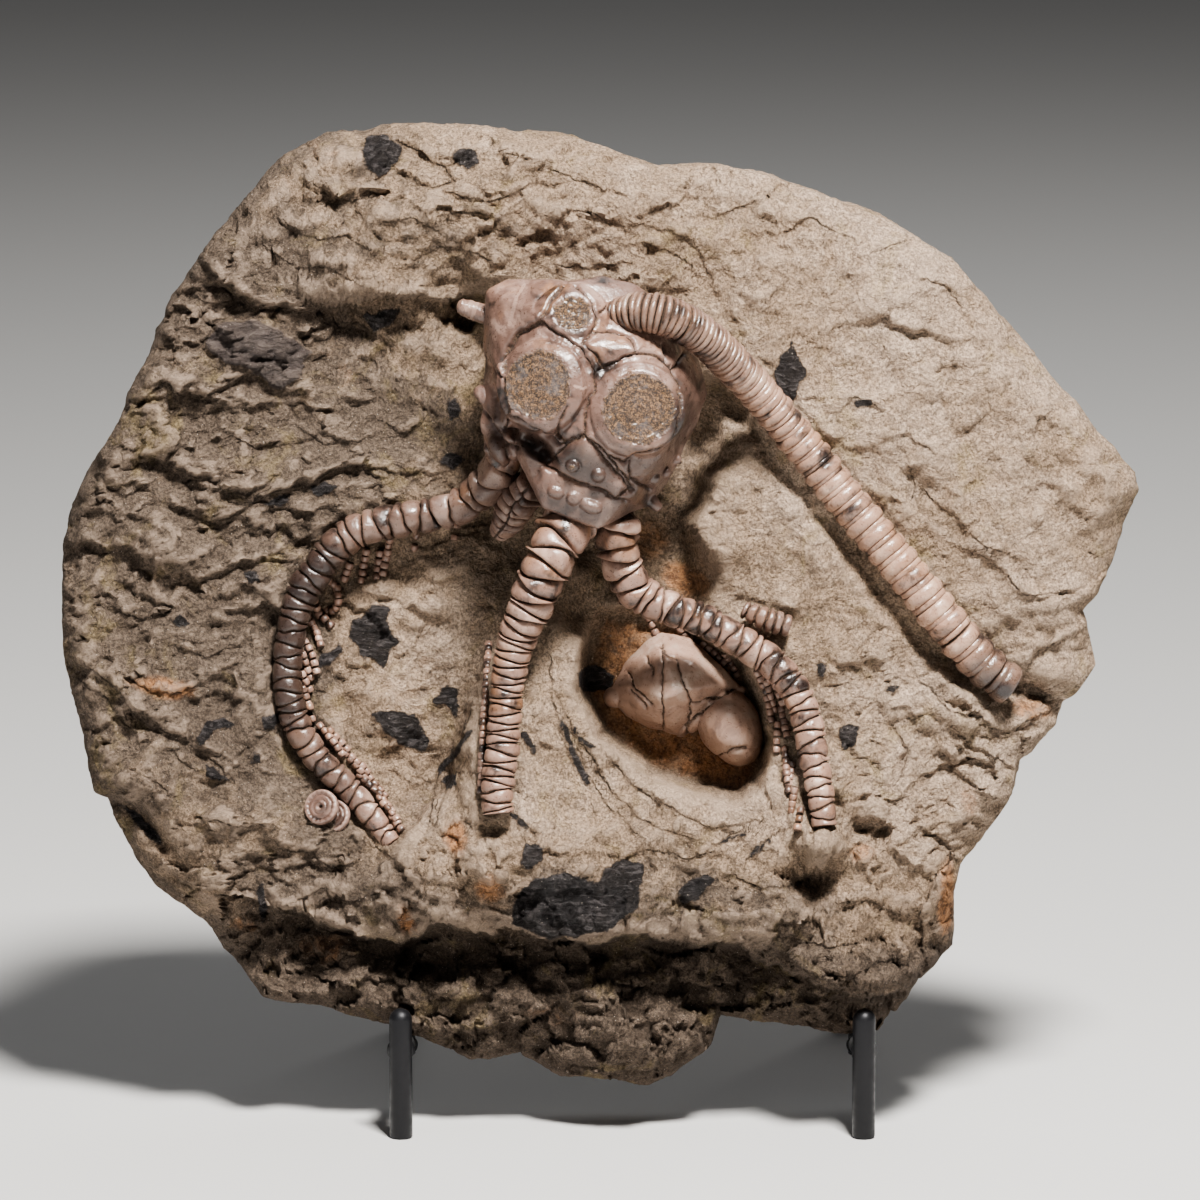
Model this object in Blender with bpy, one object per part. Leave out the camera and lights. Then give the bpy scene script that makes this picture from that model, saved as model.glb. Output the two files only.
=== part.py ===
"""A crinoid fossil on its stone slab, leaning on a welded rod stand.

The stone and everything set in it are laid out in a face frame: u runs to the right along the slab's
face, v runs up it, and w stands out from the flat back, all in millimetres. An empty carries that frame
and leans it back on the stand. The stand's legs are laid out upright in the room.
"""

import math

import bmesh
import bpy
import numpy as np
from mathutils import Matrix, Vector

# Driving dimensions, in millimetres and degrees
MM = 0.001
LEAN = 10.0  # how far the slab tips back from upright
CENTRE_HEIGHT = 102.8  # the slab's back centre above the floor
PIECE_GAP = 0.3  # clear space between neighbouring pieces
CUTTER_GAP = 0.45  # room that a cutter leaves round the piece it stands for

SLAB_GRID = 120  # facets across the slab before it is thinned
SLAB_FACETS = 3700  # triangles that the thinned slab keeps
WALL_ROWS = 5  # rows of facets from the face's edge to the back
WALL_LUMP = 0.9  # height of the lumps on the slab's edge
LEDGE_SOFTNESS = 1.1  # how gradually a ledge steps up
EDGE_ROUNDING = 7.0  # how far in from the outline the face starts to fall
EDGE_FALL = 5.0
BACK_INSET = 1.5  # how much smaller the flat back is than the face
STONE_LUMP = 1.1  # height of the stone's uneven swellings
STONE_LUMP_SIZE = 11.0
BROKEN_LUMP = 3.2  # height of the lumps on the broken lower face
BROKEN_LUMP_SIZE = 9.0
BROKEN_TOP = -66.0  # v above which the face isn't broken
NOISE_SEED = 7

ROD_RADIUS = 2.3
LEG_LEFT_U = -40.0
LEG_RIGHT_U = 53.0
LEG_TOP_HEIGHT = 26.6
LEG_FACE_W = 25.2  # how far in front of the slab's back the legs pass its lower edge
LEG_FACE_V = -85.0
CRADLE_V = -90.6
POST_TOP_V = 16.0
REAR_LEG_TOP_V = -4.0
REAR_FOOT_Y = 56.0
REAR_FOOT_HEIGHT = 7.0
LOW_BAR_V = -72.0
HIGH_BAR_V = 6.0

# The slab's outline as (u, v) corners, clockwise from the top left
OUTLINE = [
    (-55, 94.2), (-47, 94), (-41.5, 95.6), (-17, 94), (-4, 92.6), (5, 89.6), (11.5, 87.4), (24, 87.4), (32, 85.6),
    (49, 79.6), (59, 75.4), (70.5, 68.4), (80, 57.4), (85, 52), (90, 45.4), (100, 34), (107.5, 25.6), (108.2, 22),
    (105, 15), (103.5, 9), (99.5, 1.6), (96.4, -2), (99, -8), (100.2, -13), (96, -19), (93.2, -20.6), (92, -25),
    (84, -32), (82, -41), (76, -49), (72.4, -53), (71, -58), (71.2, -69.6), (64, -76), (60, -82), (56, -87.6),
    (50, -87.8), (42, -86.4), (30, -84.6), (24.4, -83.6), (22.4, -90), (14, -95.6), (9, -97.2), (-2, -96), (-8, -95.6),
    (-16, -90.6), (-26, -92.4), (-36, -88.4), (-42, -86), (-56, -82), (-67.6, -79.6), (-75, -71), (-79, -65),
    (-88, -59), (-98, -44), (-99.4, -40), (-102, -38.6), (-104, -27), (-108, -13), (-108.8, 4), (-106, 19),
    (-97, 36), (-90, 51), (-80, 70), (-70, 82), (-62, 90),
]

# The face's named landforms: each place is (u, v, reach, height over the back)
LANDFORMS = {
    "top rim": [
        (-54, 89, 9, 22), (-34, 91, 9, 24), (-8, 88, 9, 26), (20, 83, 10, 26), (46, 75, 10, 27),
        (66, 66, 10, 26), (84, 46, 10, 25), (100, 28, 9, 24), (101, 12, 7, 23),
    ],
    "crest over the cup": [
        (-60, 76, 8, 27), (-44, 77, 8, 29), (-26, 79, 8, 30), (-8, 79, 8, 30), (10, 77, 8, 30), (28, 70, 9, 31),
    ],
    "slope down to the cup": [
        (-36, 67, 5.6, 26), (-20, 70, 5.6, 26), (-12, 65.6, 4.4, 22), (4, 67, 5, 24), (18, 63, 5, 27),
        (-28, 62, 3.4, 15),
    ],
    "hollow beside the cup": [
        (-26, 53, 4.4, 13), (-32, 44, 6, 18), (-40, 50, 6, 20), (-48, 40, 7, 21), (-34, 32, 6, 18),
        (-26, 34, 3.6, 14), (-54, 51, 5, 21), (-20, 11, 3.2, 13),
    ],
    "upper left flank": [
        (-72, 70, 7, 24), (-77, 60, 6, 22), (-69, 51, 6, 24), (-86, 44, 6, 20), (-80, 32, 8, 23), (-64, 32, 8, 23),
        (-94, 26, 6, 21), (-84, 16, 7, 24), (-68, 14, 6, 22), (-50, 22, 5, 21), (-34, 24, 4.4, 19),
    ],
    "left flank": [
        (-102, 8, 5, 18), (-105, -8, 4.4, 17), (-92, -4, 7, 21), (-76, -4, 7, 22), (-88, -18, 6, 22),
        (-72, -20, 7, 21), (-100, -28, 5, 20), (-84, -34, 7, 23), (-68, -38, 7, 22), (-92, -46, 3.6, 17),
        (-80, -50, 7, 22), (-64, -54, 7, 23), (-88, -56, 4.4, 16), (-74, -66, 6, 21), (-64, -74, 6, 19),
    ],
    "floor inside the left arm": [
        (-50, 0, 6, 17), (-36, 6, 7, 18), (-25, 10, 5, 15), (-46, -12, 7, 16.5), (-30, -4, 5, 18),
        (-40, -24, 7, 16.5), (-32, -16, 5, 18), (-44, -34, 6, 16.5), (-36, -38, 4.4, 17), (-50, -48, 5, 21),
        (-56, -32, 4, 19),
    ],
    "buttress under the centre arm": [
        (-8, 2, 3.4, 20), (-12, -8, 3.8, 28), (-18, -16, 3.8, 33), (-20, -28, 4.2, 34.4), (-20.5, -40, 4.6, 35),
        (-9, -20, 3.8, 30), (-8, -34, 5, 31), (-31, -45, 3.2, 28), (2, -40, 4.4, 29),
    ],
    "front mass": [
        (-24, -52, 5.6, 36), (-36, -56, 5, 33), (-50, -58, 5.6, 28), (-12, -52, 5.6, 36), (0, -58, 7, 37),
        (8, -46, 6, 32), (20, -46, 6, 31), (20, -58, 7, 36), (36, -60, 7, 37), (50, -66, 7, 37), (46, -75, 5, 35),
        (-8, -63, 4.4, 37), (-28, -62, 4.4, 35), (60, -72, 4.4, 31),
    ],
    "broken lower face": [
        (-54, -72, 5.6, 22), (-40, -77, 5.6, 21), (-26, -76, 5.6, 23), (-30, -87, 5, 17), (-12, -78, 5.6, 24),
        (-12, -88, 5, 19), (2, -74, 5.6, 27), (4, -86, 5.6, 23), (12, -92, 5, 20), (18, -76, 5, 25),
        (20, -84, 4.4, 20), (32, -78, 4.4, 18), (40, -81, 4, 16), (-60, -80, 3.6, 17), (53, -86, 4.4, 13),
        (46, -84.6, 3.6, 15), (60, -82, 2.8, 16),
    ],
    "channel under the right arm": [
        (1, 8, 2.8, 12), (12, 11, 3.2, 13), (16, 4, 3, 15), (-2, 0, 2.8, 16), (20, 32, 2.8, 13), (17, 22, 2.4, 13),
    ],
    "swelling beside the column": [
        (32, 26, 6, 30), (27, 16, 4.4, 28), (38, 10, 6, 30), (50, 0, 7, 29), (24, 35, 3.2, 20), (29, 3, 3.6, 24),
        (36, 0, 3.6, 27),
    ],
    "right plain": [
        (40, 54, 9, 31), (56, 40, 9, 30), (60, 60, 8, 30), (76, 40, 9, 28), (70, 22, 7, 28), (88, 20, 8, 28),
        (94, 6, 6, 25), (80, 0, 6, 25), (86, -10, 4, 22), (95, -11, 4, 21), (84, -23, 4, 20),
    ],
    "lower right flank": [
        (52, -12, 7, 29), (66, -18, 7, 28), (56, -28, 7, 29), (72, -32, 6, 25), (48, -40, 4, 31), (60, -44, 6, 29),
        (72, -46, 5, 24), (44, -50, 3.2, 34), (38, -40, 2.8, 31), (36, -48, 4, 31), (54, -54, 4.4, 31),
        (52, -47, 2.4, 24), (44, -54.6, 2.8, 26), (66, -58, 5, 30), (69, -66, 3, 22), (32, -20, 2.8, 23),
        (36, -30, 3.2, 27),
    ],
}

# Ledges: the ground to the left of each line, going along it, stands this much higher
LEDGES = [
    ("brow over the left hollow", 3.6, 8, [(-74, 63), (-70, 60), (-64, 59), (-48, 58.6), (-40, 60), (-30, 61)]),
    ("left crack", 2.0, 7, [(-106, 11.6), (-100, 11), (-94, 9.4), (-83, 3.4), (-72, 6.4)]),
    ("upper left crack", 1.6, 5, [(-90, 40), (-85, 41.6), (-79, 40)]),
    ("ledge above the left arm", 1.8, 6, [(-73, 22), (-66, 21), (-60, 24), (-51, 27), (-43, 26)]),
    ("left shelf", 1.8, 7, [(-108, -11), (-104, -14), (-98, -19), (-92, -23), (-84, -27), (-79, -30.4)]),
    ("brow over the broken face", 11.0, 11, [
        (-66, -62), (-52, -67), (-44, -69), (-38, -68), (-32, -65), (-24, -66), (-8, -68.4), (8, -67.6),
        (18, -69.6), (28, -69), (36, -73), (44, -78), (50, -80.5), (60, -80),
    ]),
    ("west wall of the buttress", 5.0, 5, [(-11, 4), (-17, -6), (-25, -18), (-28, -28), (-30, -38), (-37, -45)]),
    ("right brow", 1.5, 5, [(51, 55), (56, 56.4), (61, 54.4), (68, 53)]),
    ("right step", 2.0, 7, [(100, 3.6), (95, 1), (88, 0.6), (83, 4), (80, 9.6), (73, 13), (66, 17), (58, 22)]),
    ("corner crack", 1.6, 4, [(97, -2.4), (95, -4.4), (90, -8), (85.6, -9.6)]),
]

# Troughs: (name, depth, half width, line)
TROUGHS = [
    ("along the column", 4.0, 2.2, [(24, 42), (34, 29.4), (45, 15.6), (56, 2), (66, -10), (78, -19)]),
    ("south-west groove", 4.0, 1.4, [(-99, -40.8), (-95, -42), (-91, -45), (-87.6, -49.6)]),
    ("socket past the column", 4.5, 3.2, [(80, -16), (86, -19), (92, -20)]),
    ("under the left arm", 1.6, 2.6, [(-22, 16), (-38, 10), (-52, 4), (-58, -6), (-60, -18), (-56, -28)]),
]

# The pit round the second cup
PIT_OUTLINE = [
    (0, -2), (-3, -10), (-4.4, -18), (0, -27), (10, -35), (20, -38.4), (28, -40), (32.4, -37), (34, -28),
    (32.4, -20), (29, -13), (20, -6), (8, -3),
]
PIT_FLOOR = 11.0
PIT_WALL = 3.0


class Path:
    """A line through points (u, v, w, radius), smooth between them."""

    def __init__(self, points):
        self.points = np.array(points, float)
        steps = np.linalg.norm(np.diff(self.points[:, :3], axis=0), axis=1)
        self.stations = np.concatenate([[0], np.cumsum(steps)])
        self.length = self.stations[-1]

    def at(self, distance):
        """(u, v, w, radius) that far along, on a Catmull-Rom curve."""
        last = len(self.points) - 1
        index = int(np.clip(np.searchsorted(self.stations, distance) - 1, 0, last - 1))
        span = self.stations[index + 1] - self.stations[index]
        t = (distance - self.stations[index]) / span
        a, b, c, d = (self.points[min(max(index + k, 0), last)] for k in (-1, 0, 1, 2))
        bend = 2 * a - 5 * b + 4 * c - d
        return 0.5 * (2 * b + (c - a) * t + bend * t**2 + (3 * b - a - 3 * c + d) * t**3)


COLUMN = Path([
    (3, 56, 49, 3.3), (7, 56.8, 52, 3.6), (12, 56.2, 53, 3.8), (16.5, 54.4, 51, 3.6), (21, 51.6, 47.5, 3.4),
    (26, 47, 42, 3.4), (31, 42, 37, 3.4), (40, 31.4, 32, 3.6), (50, 19, 30.5, 3.9), (60, 7, 30, 4.1),
    (70, -5.4, 29, 4.2), (77, -13, 27.5, 4.2), (82, -17, 26.5, 4.0),
])
LEFT_ARM = Path([
    (-18.6, 30.4, 36.4, 3.1), (-20.5, 25.6, 32.4, 3.5), (-24, 21.6, 28, 3.5), (-30, 18.2, 25.5, 3.4), (-40, 16, 24, 3.3),
    (-50, 13.2, 23.5, 3.3), (-56.4, 6.5, 23, 3.3), (-60.4, 0, 22.5, 3.1), (-62.6, -10, 22, 2.8),
    (-62.4, -20, 22, 2.8), (-58.2, -30, 22, 2.7), (-48.4, -40.2, 21.5, 2.4), (-41.8, -49, 22.5, 1.9),
])
CENTRE_ARM = Path([
    (-3.4, 20.6, 45.5, 5.2), (-5.2, 17, 46.8, 5.3), (-7.2, 13.4, 47, 5.0), (-9.6, 8.6, 45.6, 4.6),
    (-13.4, 0, 42.2, 4.2), (-17, -9.4, 38.6, 3.6), (-18.6, -19, 37, 3.2), (-19.4, -29, 37, 3.2), (-20.4, -38, 37.4, 3.2),
    (-20.2, -42.6, 37.6, 3.0),
])
RIGHT_ARM = Path([
    (4.0, 17, 42, 3.8), (3.8, 12, 39.5, 3.9), (4.8, 6.6, 37, 3.9), (8.0, 1.2, 35, 3.6), (14, -1.8, 34, 3.2),
    (20.4, -4.0, 33.5, 3.1), (30.2, -9.6, 33, 3.1), (36.8, -15, 33, 3.0), (40.6, -21.6, 33, 2.9), (42.6, -31, 33.4, 2.9),
    (44.2, -40, 34.4, 2.6), (44.8, -45.2, 35, 2.4),
])
ARM_STUB = Path([(-12.6, 23.6, 36, 3.6), (-16.4, 19.6, 31, 3.7), (-18.6, 16, 27.5, 3.0), (-20.4, 13.4, 24.5, 1.8)])
SPINE = Path([(-17, 54.8, 40, 2.1), (-22, 56.4, 39, 1.8), (-27.4, 58.4, 38, 1.2)])
LOOSE_COLUMNAL = Path([(-56.2, -41.4, 25.4, 3.5), (-55, -42.2, 23.2, 3.4), (-53.6, -43, 20.6, 3.2)])
RIBBED_FRAGMENT = Path([(28.6, -1.8, 30.5, 1.6), (33, -3.8, 31, 2.3), (38, -5.2, 30.5, 2.0)])

# Corners of the cup's plates
CUP_CORNERS = [
    (-7, 62.4, 49), (-11.2, 55.4, 55), (-18.6, 48.4, 49), (-19.4, 43.4, 48), (-4.8, 50, 57), (-2.4, 38.2, 57),
    (-3, 32.4, 56.4), (6.8, 48.6, 56), (12.2, 47.8, 53), (15.6, 43, 50), (16, 38, 49), (12.6, 29.8, 51),
    (6.4, 27.4, 55), (-8.6, 30, 53), (-10.8, 26, 51), (5.2, 19.8, 49), (-10.6, 19, 48), (0, 15, 46),
    (-22, 61, 43), (-18.6, 62.8, 43), (0.6, 63.4, 45), (6.8, 62, 45), (12.4, 58, 43), (19.2, 47.6, 39),
    (20.6, 41, 38), (18.6, 35, 38), (15, 27.6, 40), (10.4, 19.6, 40), (-22.6, 42, 38), (-21.4, 52.8, 41),
    (-19, 36, 40), (-19, 60, 24), (5, 60, 22), (16, 46, 20), (13, 28, 22), (2, 17, 28), (-8, 20, 30),
    (-20, 44, 22), (-14, 30, 22), (0, 40, 17),
]
CUP_LOBE_CORNERS = [
    (-20.8, 46.4, 42), (-19.2, 44, 45), (-18.6, 35.4, 46), (-17.2, 31.2, 44), (-18.8, 27.6, 41), (-20.4, 25.8, 38),
    (-23.2, 29.8, 38), (-23.6, 36.2, 39), (-22.8, 41.2, 39), (-20, 44, 24), (-20, 28, 24), (-12, 32, 46),
    (-12, 30, 26), (-10, 42, 46), (-10, 42, 26),
]
SECOND_CUP_CORNERS = [
    (2.4, -19.4, 14), (2.8, -17.4, 16), (4, -21, 16.6), (5, -13, 15), (10, -8, 15), (12.4, -6.6, 14),
    (18, -8, 15), (21.4, -11.6, 17), (25.4, -14.8, 18), (29.4, -18.4, 15), (19.6, -25, 18), (17, -27.6, 15),
    (10, -25.8, 15), (5.6, -23.4, 15), (12.8, -11, 22.6), (12.8, -19.6, 25), (17, -18, 25.4), (8, -17.6, 21.4),
    (12.8, -25, 20), (18.6, -12.6, 23), (23, -17, 22.4), (6, -20, 9), (12, -10, 8), (24, -14, 9), (26, -19, 9),
    (16, -25, 9),
]

CUP_COLOUR = (0.34, 0.27, 0.23, 1.0)
ARM_COLOUR = (0.38, 0.29, 0.25, 1.0)
STONE_COLOUR = (0.30, 0.24, 0.17, 1.0)
STEEL_COLOUR = (0.03, 0.03, 0.035, 1.0)


def value_noise(points, size, seed):
    """Smooth noise from -1 to 1 at each (u, v, w) row, with hills about that size across."""
    scaled = points / size
    cell = np.floor(scaled).astype(np.int64)
    t = scaled - cell
    t = t * t * t * (t * (t * 6 - 15) + 10)
    total = np.zeros(len(points))
    for corner in range(8):
        step = np.array([corner & 1, corner >> 1 & 1, corner >> 2 & 1])
        at = cell + step
        mixed = (at[:, 0] * 374761393 + at[:, 1] * 668265263 + at[:, 2] * 2246822519 + seed * 3266489917) & 0xFFFFFFFF
        mixed = ((mixed ^ (mixed >> 13)) * 1274126177) & 0xFFFFFFFF
        share = np.prod(np.where(step == 1, t, 1 - t), axis=1)
        total += share * ((mixed ^ (mixed >> 16)) / 0xFFFFFFFF)
    return total * 2 - 1


def layered_noise(points, size, seed, layers=3):
    """Value noise at several sizes, each half as large and half as high."""
    total = np.zeros(len(points))
    for layer in range(layers):
        total += value_noise(points, size / 2**layer, seed + layer) / 2**layer
    return total


def line_distance(points, line, closed=False):
    """(distance, side) of each (u, v) row from a polyline; side is positive to its left."""
    corners = np.array(line + line[:1] if closed else line, float)
    nearest = np.full(len(points), np.inf)
    side = np.zeros(len(points))
    for start, end in zip(corners[:-1], corners[1:]):
        along = end - start
        offset = points - start
        t = np.clip(offset @ along / (along @ along), 0, 1)
        distance = np.linalg.norm(offset - t[:, None] * along, axis=1)
        closer = distance < nearest
        nearest[closer] = distance[closer]
        side[closer] = np.sign(along[0] * offset[:, 1] - along[1] * offset[:, 0])[closer]
    return nearest, side


def inside(points, outline):
    """True for each (u, v) row inside a closed outline."""
    found = np.zeros(len(points), bool)
    for (u0, v0), (u1, v1) in zip(outline, outline[1:] + outline[:1]):
        if v0 == v1:
            continue
        crosses = (points[:, 1] > min(v0, v1)) & (points[:, 1] <= max(v0, v1))
        meets = u0 + (points[:, 1] - v0) / (v1 - v0) * (u1 - u0)
        found ^= crosses & (points[:, 0] < meets)
    return found


def smooth_step(x):
    """0 below 0 and 1 above 1, with a smooth rise between."""
    t = np.clip(x, 0, 1)
    return t * t * (3 - 2 * t)


def outline_radius(angles):
    """How far the slab's outline is from the face's centre in each direction."""
    corners = np.array(OUTLINE)
    turns = np.arctan2(corners[:, 1], corners[:, 0])
    order = np.argsort(turns)
    return np.interp(angles, turns[order], np.hypot(*corners.T)[order], period=math.tau)


def landform_height(points):
    """The smooth lie of the face: a blend of the named places, each strongest within its reach."""
    total = np.zeros(len(points))
    weight = np.full(len(points), 1e-9)
    for places in LANDFORMS.values():
        for u, v, reach, height in places:
            pull = np.exp(-((points[:, 0] - u) ** 2 + (points[:, 1] - v) ** 2) / (1.6 * reach) ** 2) + 1e-7
            total += pull * height
            weight += pull
    return total / weight


def face_height(points):
    """The face's height over the back at each (u, v) row."""
    flat = np.column_stack([points, np.zeros(len(points))])
    height = landform_height(points)
    wander = np.column_stack([layered_noise(flat, 8, NOISE_SEED + 20), layered_noise(flat, 8, NOISE_SEED + 30)])
    for _, rise, reach, line in LEDGES:
        distance, side = line_distance(points + wander, line)
        height += 0.5 * rise * side * (1 - np.exp(-distance / LEDGE_SOFTNESS)) * np.exp(-distance / reach)
    for _, depth, half_width, line in TROUGHS:
        distance, _ = line_distance(points, line)
        height -= depth * np.exp(-((distance / half_width) ** 2))
    height += STONE_LUMP * layered_noise(flat, STONE_LUMP_SIZE, NOISE_SEED)
    broken = smooth_step((BROKEN_TOP - points[:, 1]) / 6)
    height += broken * BROKEN_LUMP * layered_noise(flat, BROKEN_LUMP_SIZE, NOISE_SEED + 10, 2)
    edge, _ = line_distance(points, PIT_OUTLINE, closed=True)
    depth_in = np.where(inside(points, PIT_OUTLINE), edge, -edge)
    return height + (PIT_FLOOR - height) * smooth_step(depth_in / PIT_WALL + 0.5)


def disc_of_square(x, y):
    """The unit square's points moved onto the unit disc, evenly spread."""
    wide = np.abs(x) > np.abs(y)
    safe_x, safe_y = np.where(x == 0, 1, x), np.where(y == 0, 1, y)
    radius = np.where(wide, x, y)
    turn = np.where(wide, math.pi / 4 * y / safe_x, math.pi / 2 - math.pi / 4 * x / safe_y)
    return radius * np.cos(turn), radius * np.sin(turn)


def add_object(name, mesh, collection, frame, material=None):
    """A mesh object in the collection, carried by the frame empty."""
    obj = bpy.data.objects.new(name, mesh)
    collection.objects.link(obj)
    obj.parent = frame
    if material:
        mesh.materials.append(material)
    return obj


def make_material(name, colour, roughness, metallic=0.0):
    """A Principled material of one colour."""
    material = bpy.data.materials.new(name)
    material.use_nodes = True
    shader = material.node_tree.nodes["Principled BSDF"]
    shader.inputs["Base Color"].default_value = colour
    shader.inputs["Roughness"].default_value = roughness
    shader.inputs["Metallic"].default_value = metallic
    return material


def hide_as_helper(obj):
    """Marks a cutter, which isn't part of the object."""
    obj.hide_render = True
    obj.display_type = "WIRE"
    return obj


def cut(obj, cutter):
    """Takes the cutter's shape out of obj."""
    modifier = obj.modifiers.new(f"cut_{cutter.name}", "BOOLEAN")
    modifier.operation = "DIFFERENCE"
    modifier.object = cutter


def tube_curve(name, points):
    """A curve object along (u, v, w, radius) rows, with closed ends."""
    curve = bpy.data.curves.new(name, "CURVE")
    curve.dimensions = "3D"
    curve.bevel_depth = MM
    curve.bevel_resolution = 2
    curve.use_fill_caps = True
    spline = curve.splines.new("POLY")
    spline.points.add(len(points) - 1)
    for point, (u, v, w, radius) in zip(spline.points, points):
        point.co = (u * MM, v * MM, w * MM, 1)
        point.radius = radius
    return bpy.data.objects.new(name, curve)


def tube_mesh(name, points):
    """The tube as a mesh with its caps joined on."""
    obj = tube_curve(name, points)
    bpy.context.scene.collection.objects.link(obj)
    bpy.context.view_layer.update()
    mesh = bpy.data.meshes.new_from_object(obj.evaluated_get(bpy.context.evaluated_depsgraph_get()))
    bpy.data.objects.remove(obj)
    tidy = bmesh.new()
    tidy.from_mesh(mesh)
    bmesh.ops.remove_doubles(tidy, verts=tidy.verts, dist=1e-6)
    bmesh.ops.recalc_face_normals(tidy, faces=tidy.faces)
    tidy.to_mesh(mesh)
    tidy.free()
    return mesh


def ossicle_stations(path, first, last):
    """Where each ossicle of a stack starts and ends, its height growing evenly from first to last."""
    stations = [0.0]
    while stations[-1] < path.length:
        stations.append(stations[-1] + first + (last - first) * stations[-1] / path.length)
    return np.array(stations) * path.length / stations[-1]


def stack_points(path, first, last, waist):
    """Tube points for a stack of ossicles: full at each middle, and waist times as wide at each joint."""
    stations = ossicle_stations(path, first, last)
    points = [path.at(0)]
    for start, end in zip(stations[:-1], stations[1:]):
        points.append(path.at((start + end) / 2))
        joint = path.at(end)
        joint[3] *= waist
        points.append(joint)
    return points


def clearance_points(path, gap, steps):
    """Tube points of the same run without its joints, wider by the gap, and longer at both ends."""
    points = [path.at(path.length * k / steps) for k in range(steps + 1)]
    for end, inner in ((0, 1), (-1, -2)):
        outward = points[end][:3] - points[inner][:3]
        points[end][:3] += outward / np.linalg.norm(outward) * gap
    for point in points:
        point[3] += gap
    return points


def turned_to(direction):
    """A rotation that takes +Z to the direction."""
    return Vector(direction).normalized().to_track_quat("Z", "Y").to_matrix().to_4x4()


def ellipsoid(shape, centre, radii, turn=0.0, grow=0.0, rings=(14, 9)):
    """Adds an ellipsoid turned in the face's plane."""
    size = Matrix.Diagonal([(r + grow) * MM for r in radii]).to_4x4()
    place = Matrix.Translation(Vector(centre) * MM) @ Matrix.Rotation(math.radians(turn), 4, "Z")
    bmesh.ops.create_uvsphere(shape, u_segments=rings[0], v_segments=rings[1], radius=1, matrix=place @ size)


def truncated_cone(shape, base, direction, height, base_radius, top_radius, grow=0.0, sides=16):
    """Adds a cone whose base centre is at base, standing along the direction."""
    length = (height + grow) * MM
    place = Matrix.Translation(Vector(base) * MM) @ turned_to(direction) @ Matrix.Translation((0, 0, length / 2))
    bmesh.ops.create_cone(
        shape, cap_ends=True, segments=sides, radius1=(base_radius + grow) * MM, radius2=(top_radius + grow) * MM,
        depth=length, matrix=place,
    )


def joined_solid(name, adders, collection, frame, material=None):
    """One solid from several overlapping shapes, joined by Boolean unions."""
    pieces = []
    for index, add in enumerate(adders):
        shape = bmesh.new()
        add(shape)
        mesh = bpy.data.meshes.new(f"{name}_shape_{index}")
        shape.to_mesh(mesh)
        shape.free()
        pieces.append(add_object(mesh.name, mesh, collection, frame))
    whole = pieces[0]
    for piece in pieces[1:]:
        union = whole.modifiers.new("join", "BOOLEAN")
        union.operation = "UNION"
        union.object = piece
    bpy.context.view_layer.update()
    mesh = bpy.data.meshes.new_from_object(whole.evaluated_get(bpy.context.evaluated_depsgraph_get()))
    mesh.name = name
    for piece in pieces:
        bpy.data.objects.remove(piece)
    mesh.materials.clear()
    return add_object(name, mesh, collection, frame, material)


def hull(shape, corners, grow=0.0):
    """Adds the convex solid of plates between the (u, v, w) corners."""
    middle = sum((Vector(corner) for corner in corners), Vector()) / len(corners)
    corners = [Vector(corner) + (Vector(corner) - middle).normalized() * 1.5 * grow for corner in corners]
    vertices = [shape.verts.new(corner * MM) for corner in corners]
    made = bmesh.ops.convex_hull(shape, input=vertices)
    spare = [item for item in made["geom_interior"] + made["geom_unused"] if isinstance(item, bmesh.types.BMVert)]
    bmesh.ops.delete(shape, geom=list(set(spare)), context="VERTS")
    bmesh.ops.recalc_face_normals(shape, faces=shape.faces)


def cup_shapes(grow=0.0):
    """The cup: its plates, the lobe at its lower left, two big arm facets, a small one and four spines."""
    return [
        lambda s: hull(s, CUP_CORNERS, grow),
        lambda s: hull(s, CUP_LOBE_CORNERS, grow),
        lambda s: truncated_cone(s, (-8.2, 42.4, 44.8), (-0.36, 0.02, 0.93), 13, 11.4, 7.8, grow),
        lambda s: truncated_cone(s, (6, 37.8, 45), (0.17, 0.03, 0.97), 13.14, 11.2, 8, grow),
        lambda s: truncated_cone(s, (-5.5, 51.6, 45), (0, 0.42, 0.89), 11.6, 8, 4.6, grow, 10),
        lambda s: truncated_cone(s, (13.6, 28.8, 41), (0.8, -0.25, 0.1), 3.8, 1.8, 0.6, grow, 6),
        lambda s: truncated_cone(s, (9.4, 21.4, 41), (0.7, -0.6, 0.1), 3.8, 1.8, 0.6, grow, 6),
        lambda s: truncated_cone(s, (-22, 41, 39), (-0.95, 0.1, 0.2), 2.6, 1.8, 0.8, grow, 6),
        lambda s: truncated_cone(s, (-0.4, 24.8, 49), (0, 0.1, 1), 3.2, 1.6, 0.7, grow, 6),
    ]


def second_cup_shapes(grow=0.0):
    """The second cup: its plates, which narrow to the stem end, and the swollen plate at its lower right."""
    return [
        lambda s: hull(s, SECOND_CUP_CORNERS, grow),
        lambda s: ellipsoid(s, (26.2, -25.4, 15.4), (5.9, 8.4, 8.0), 25, grow, (12, 8)),
    ]


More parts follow.
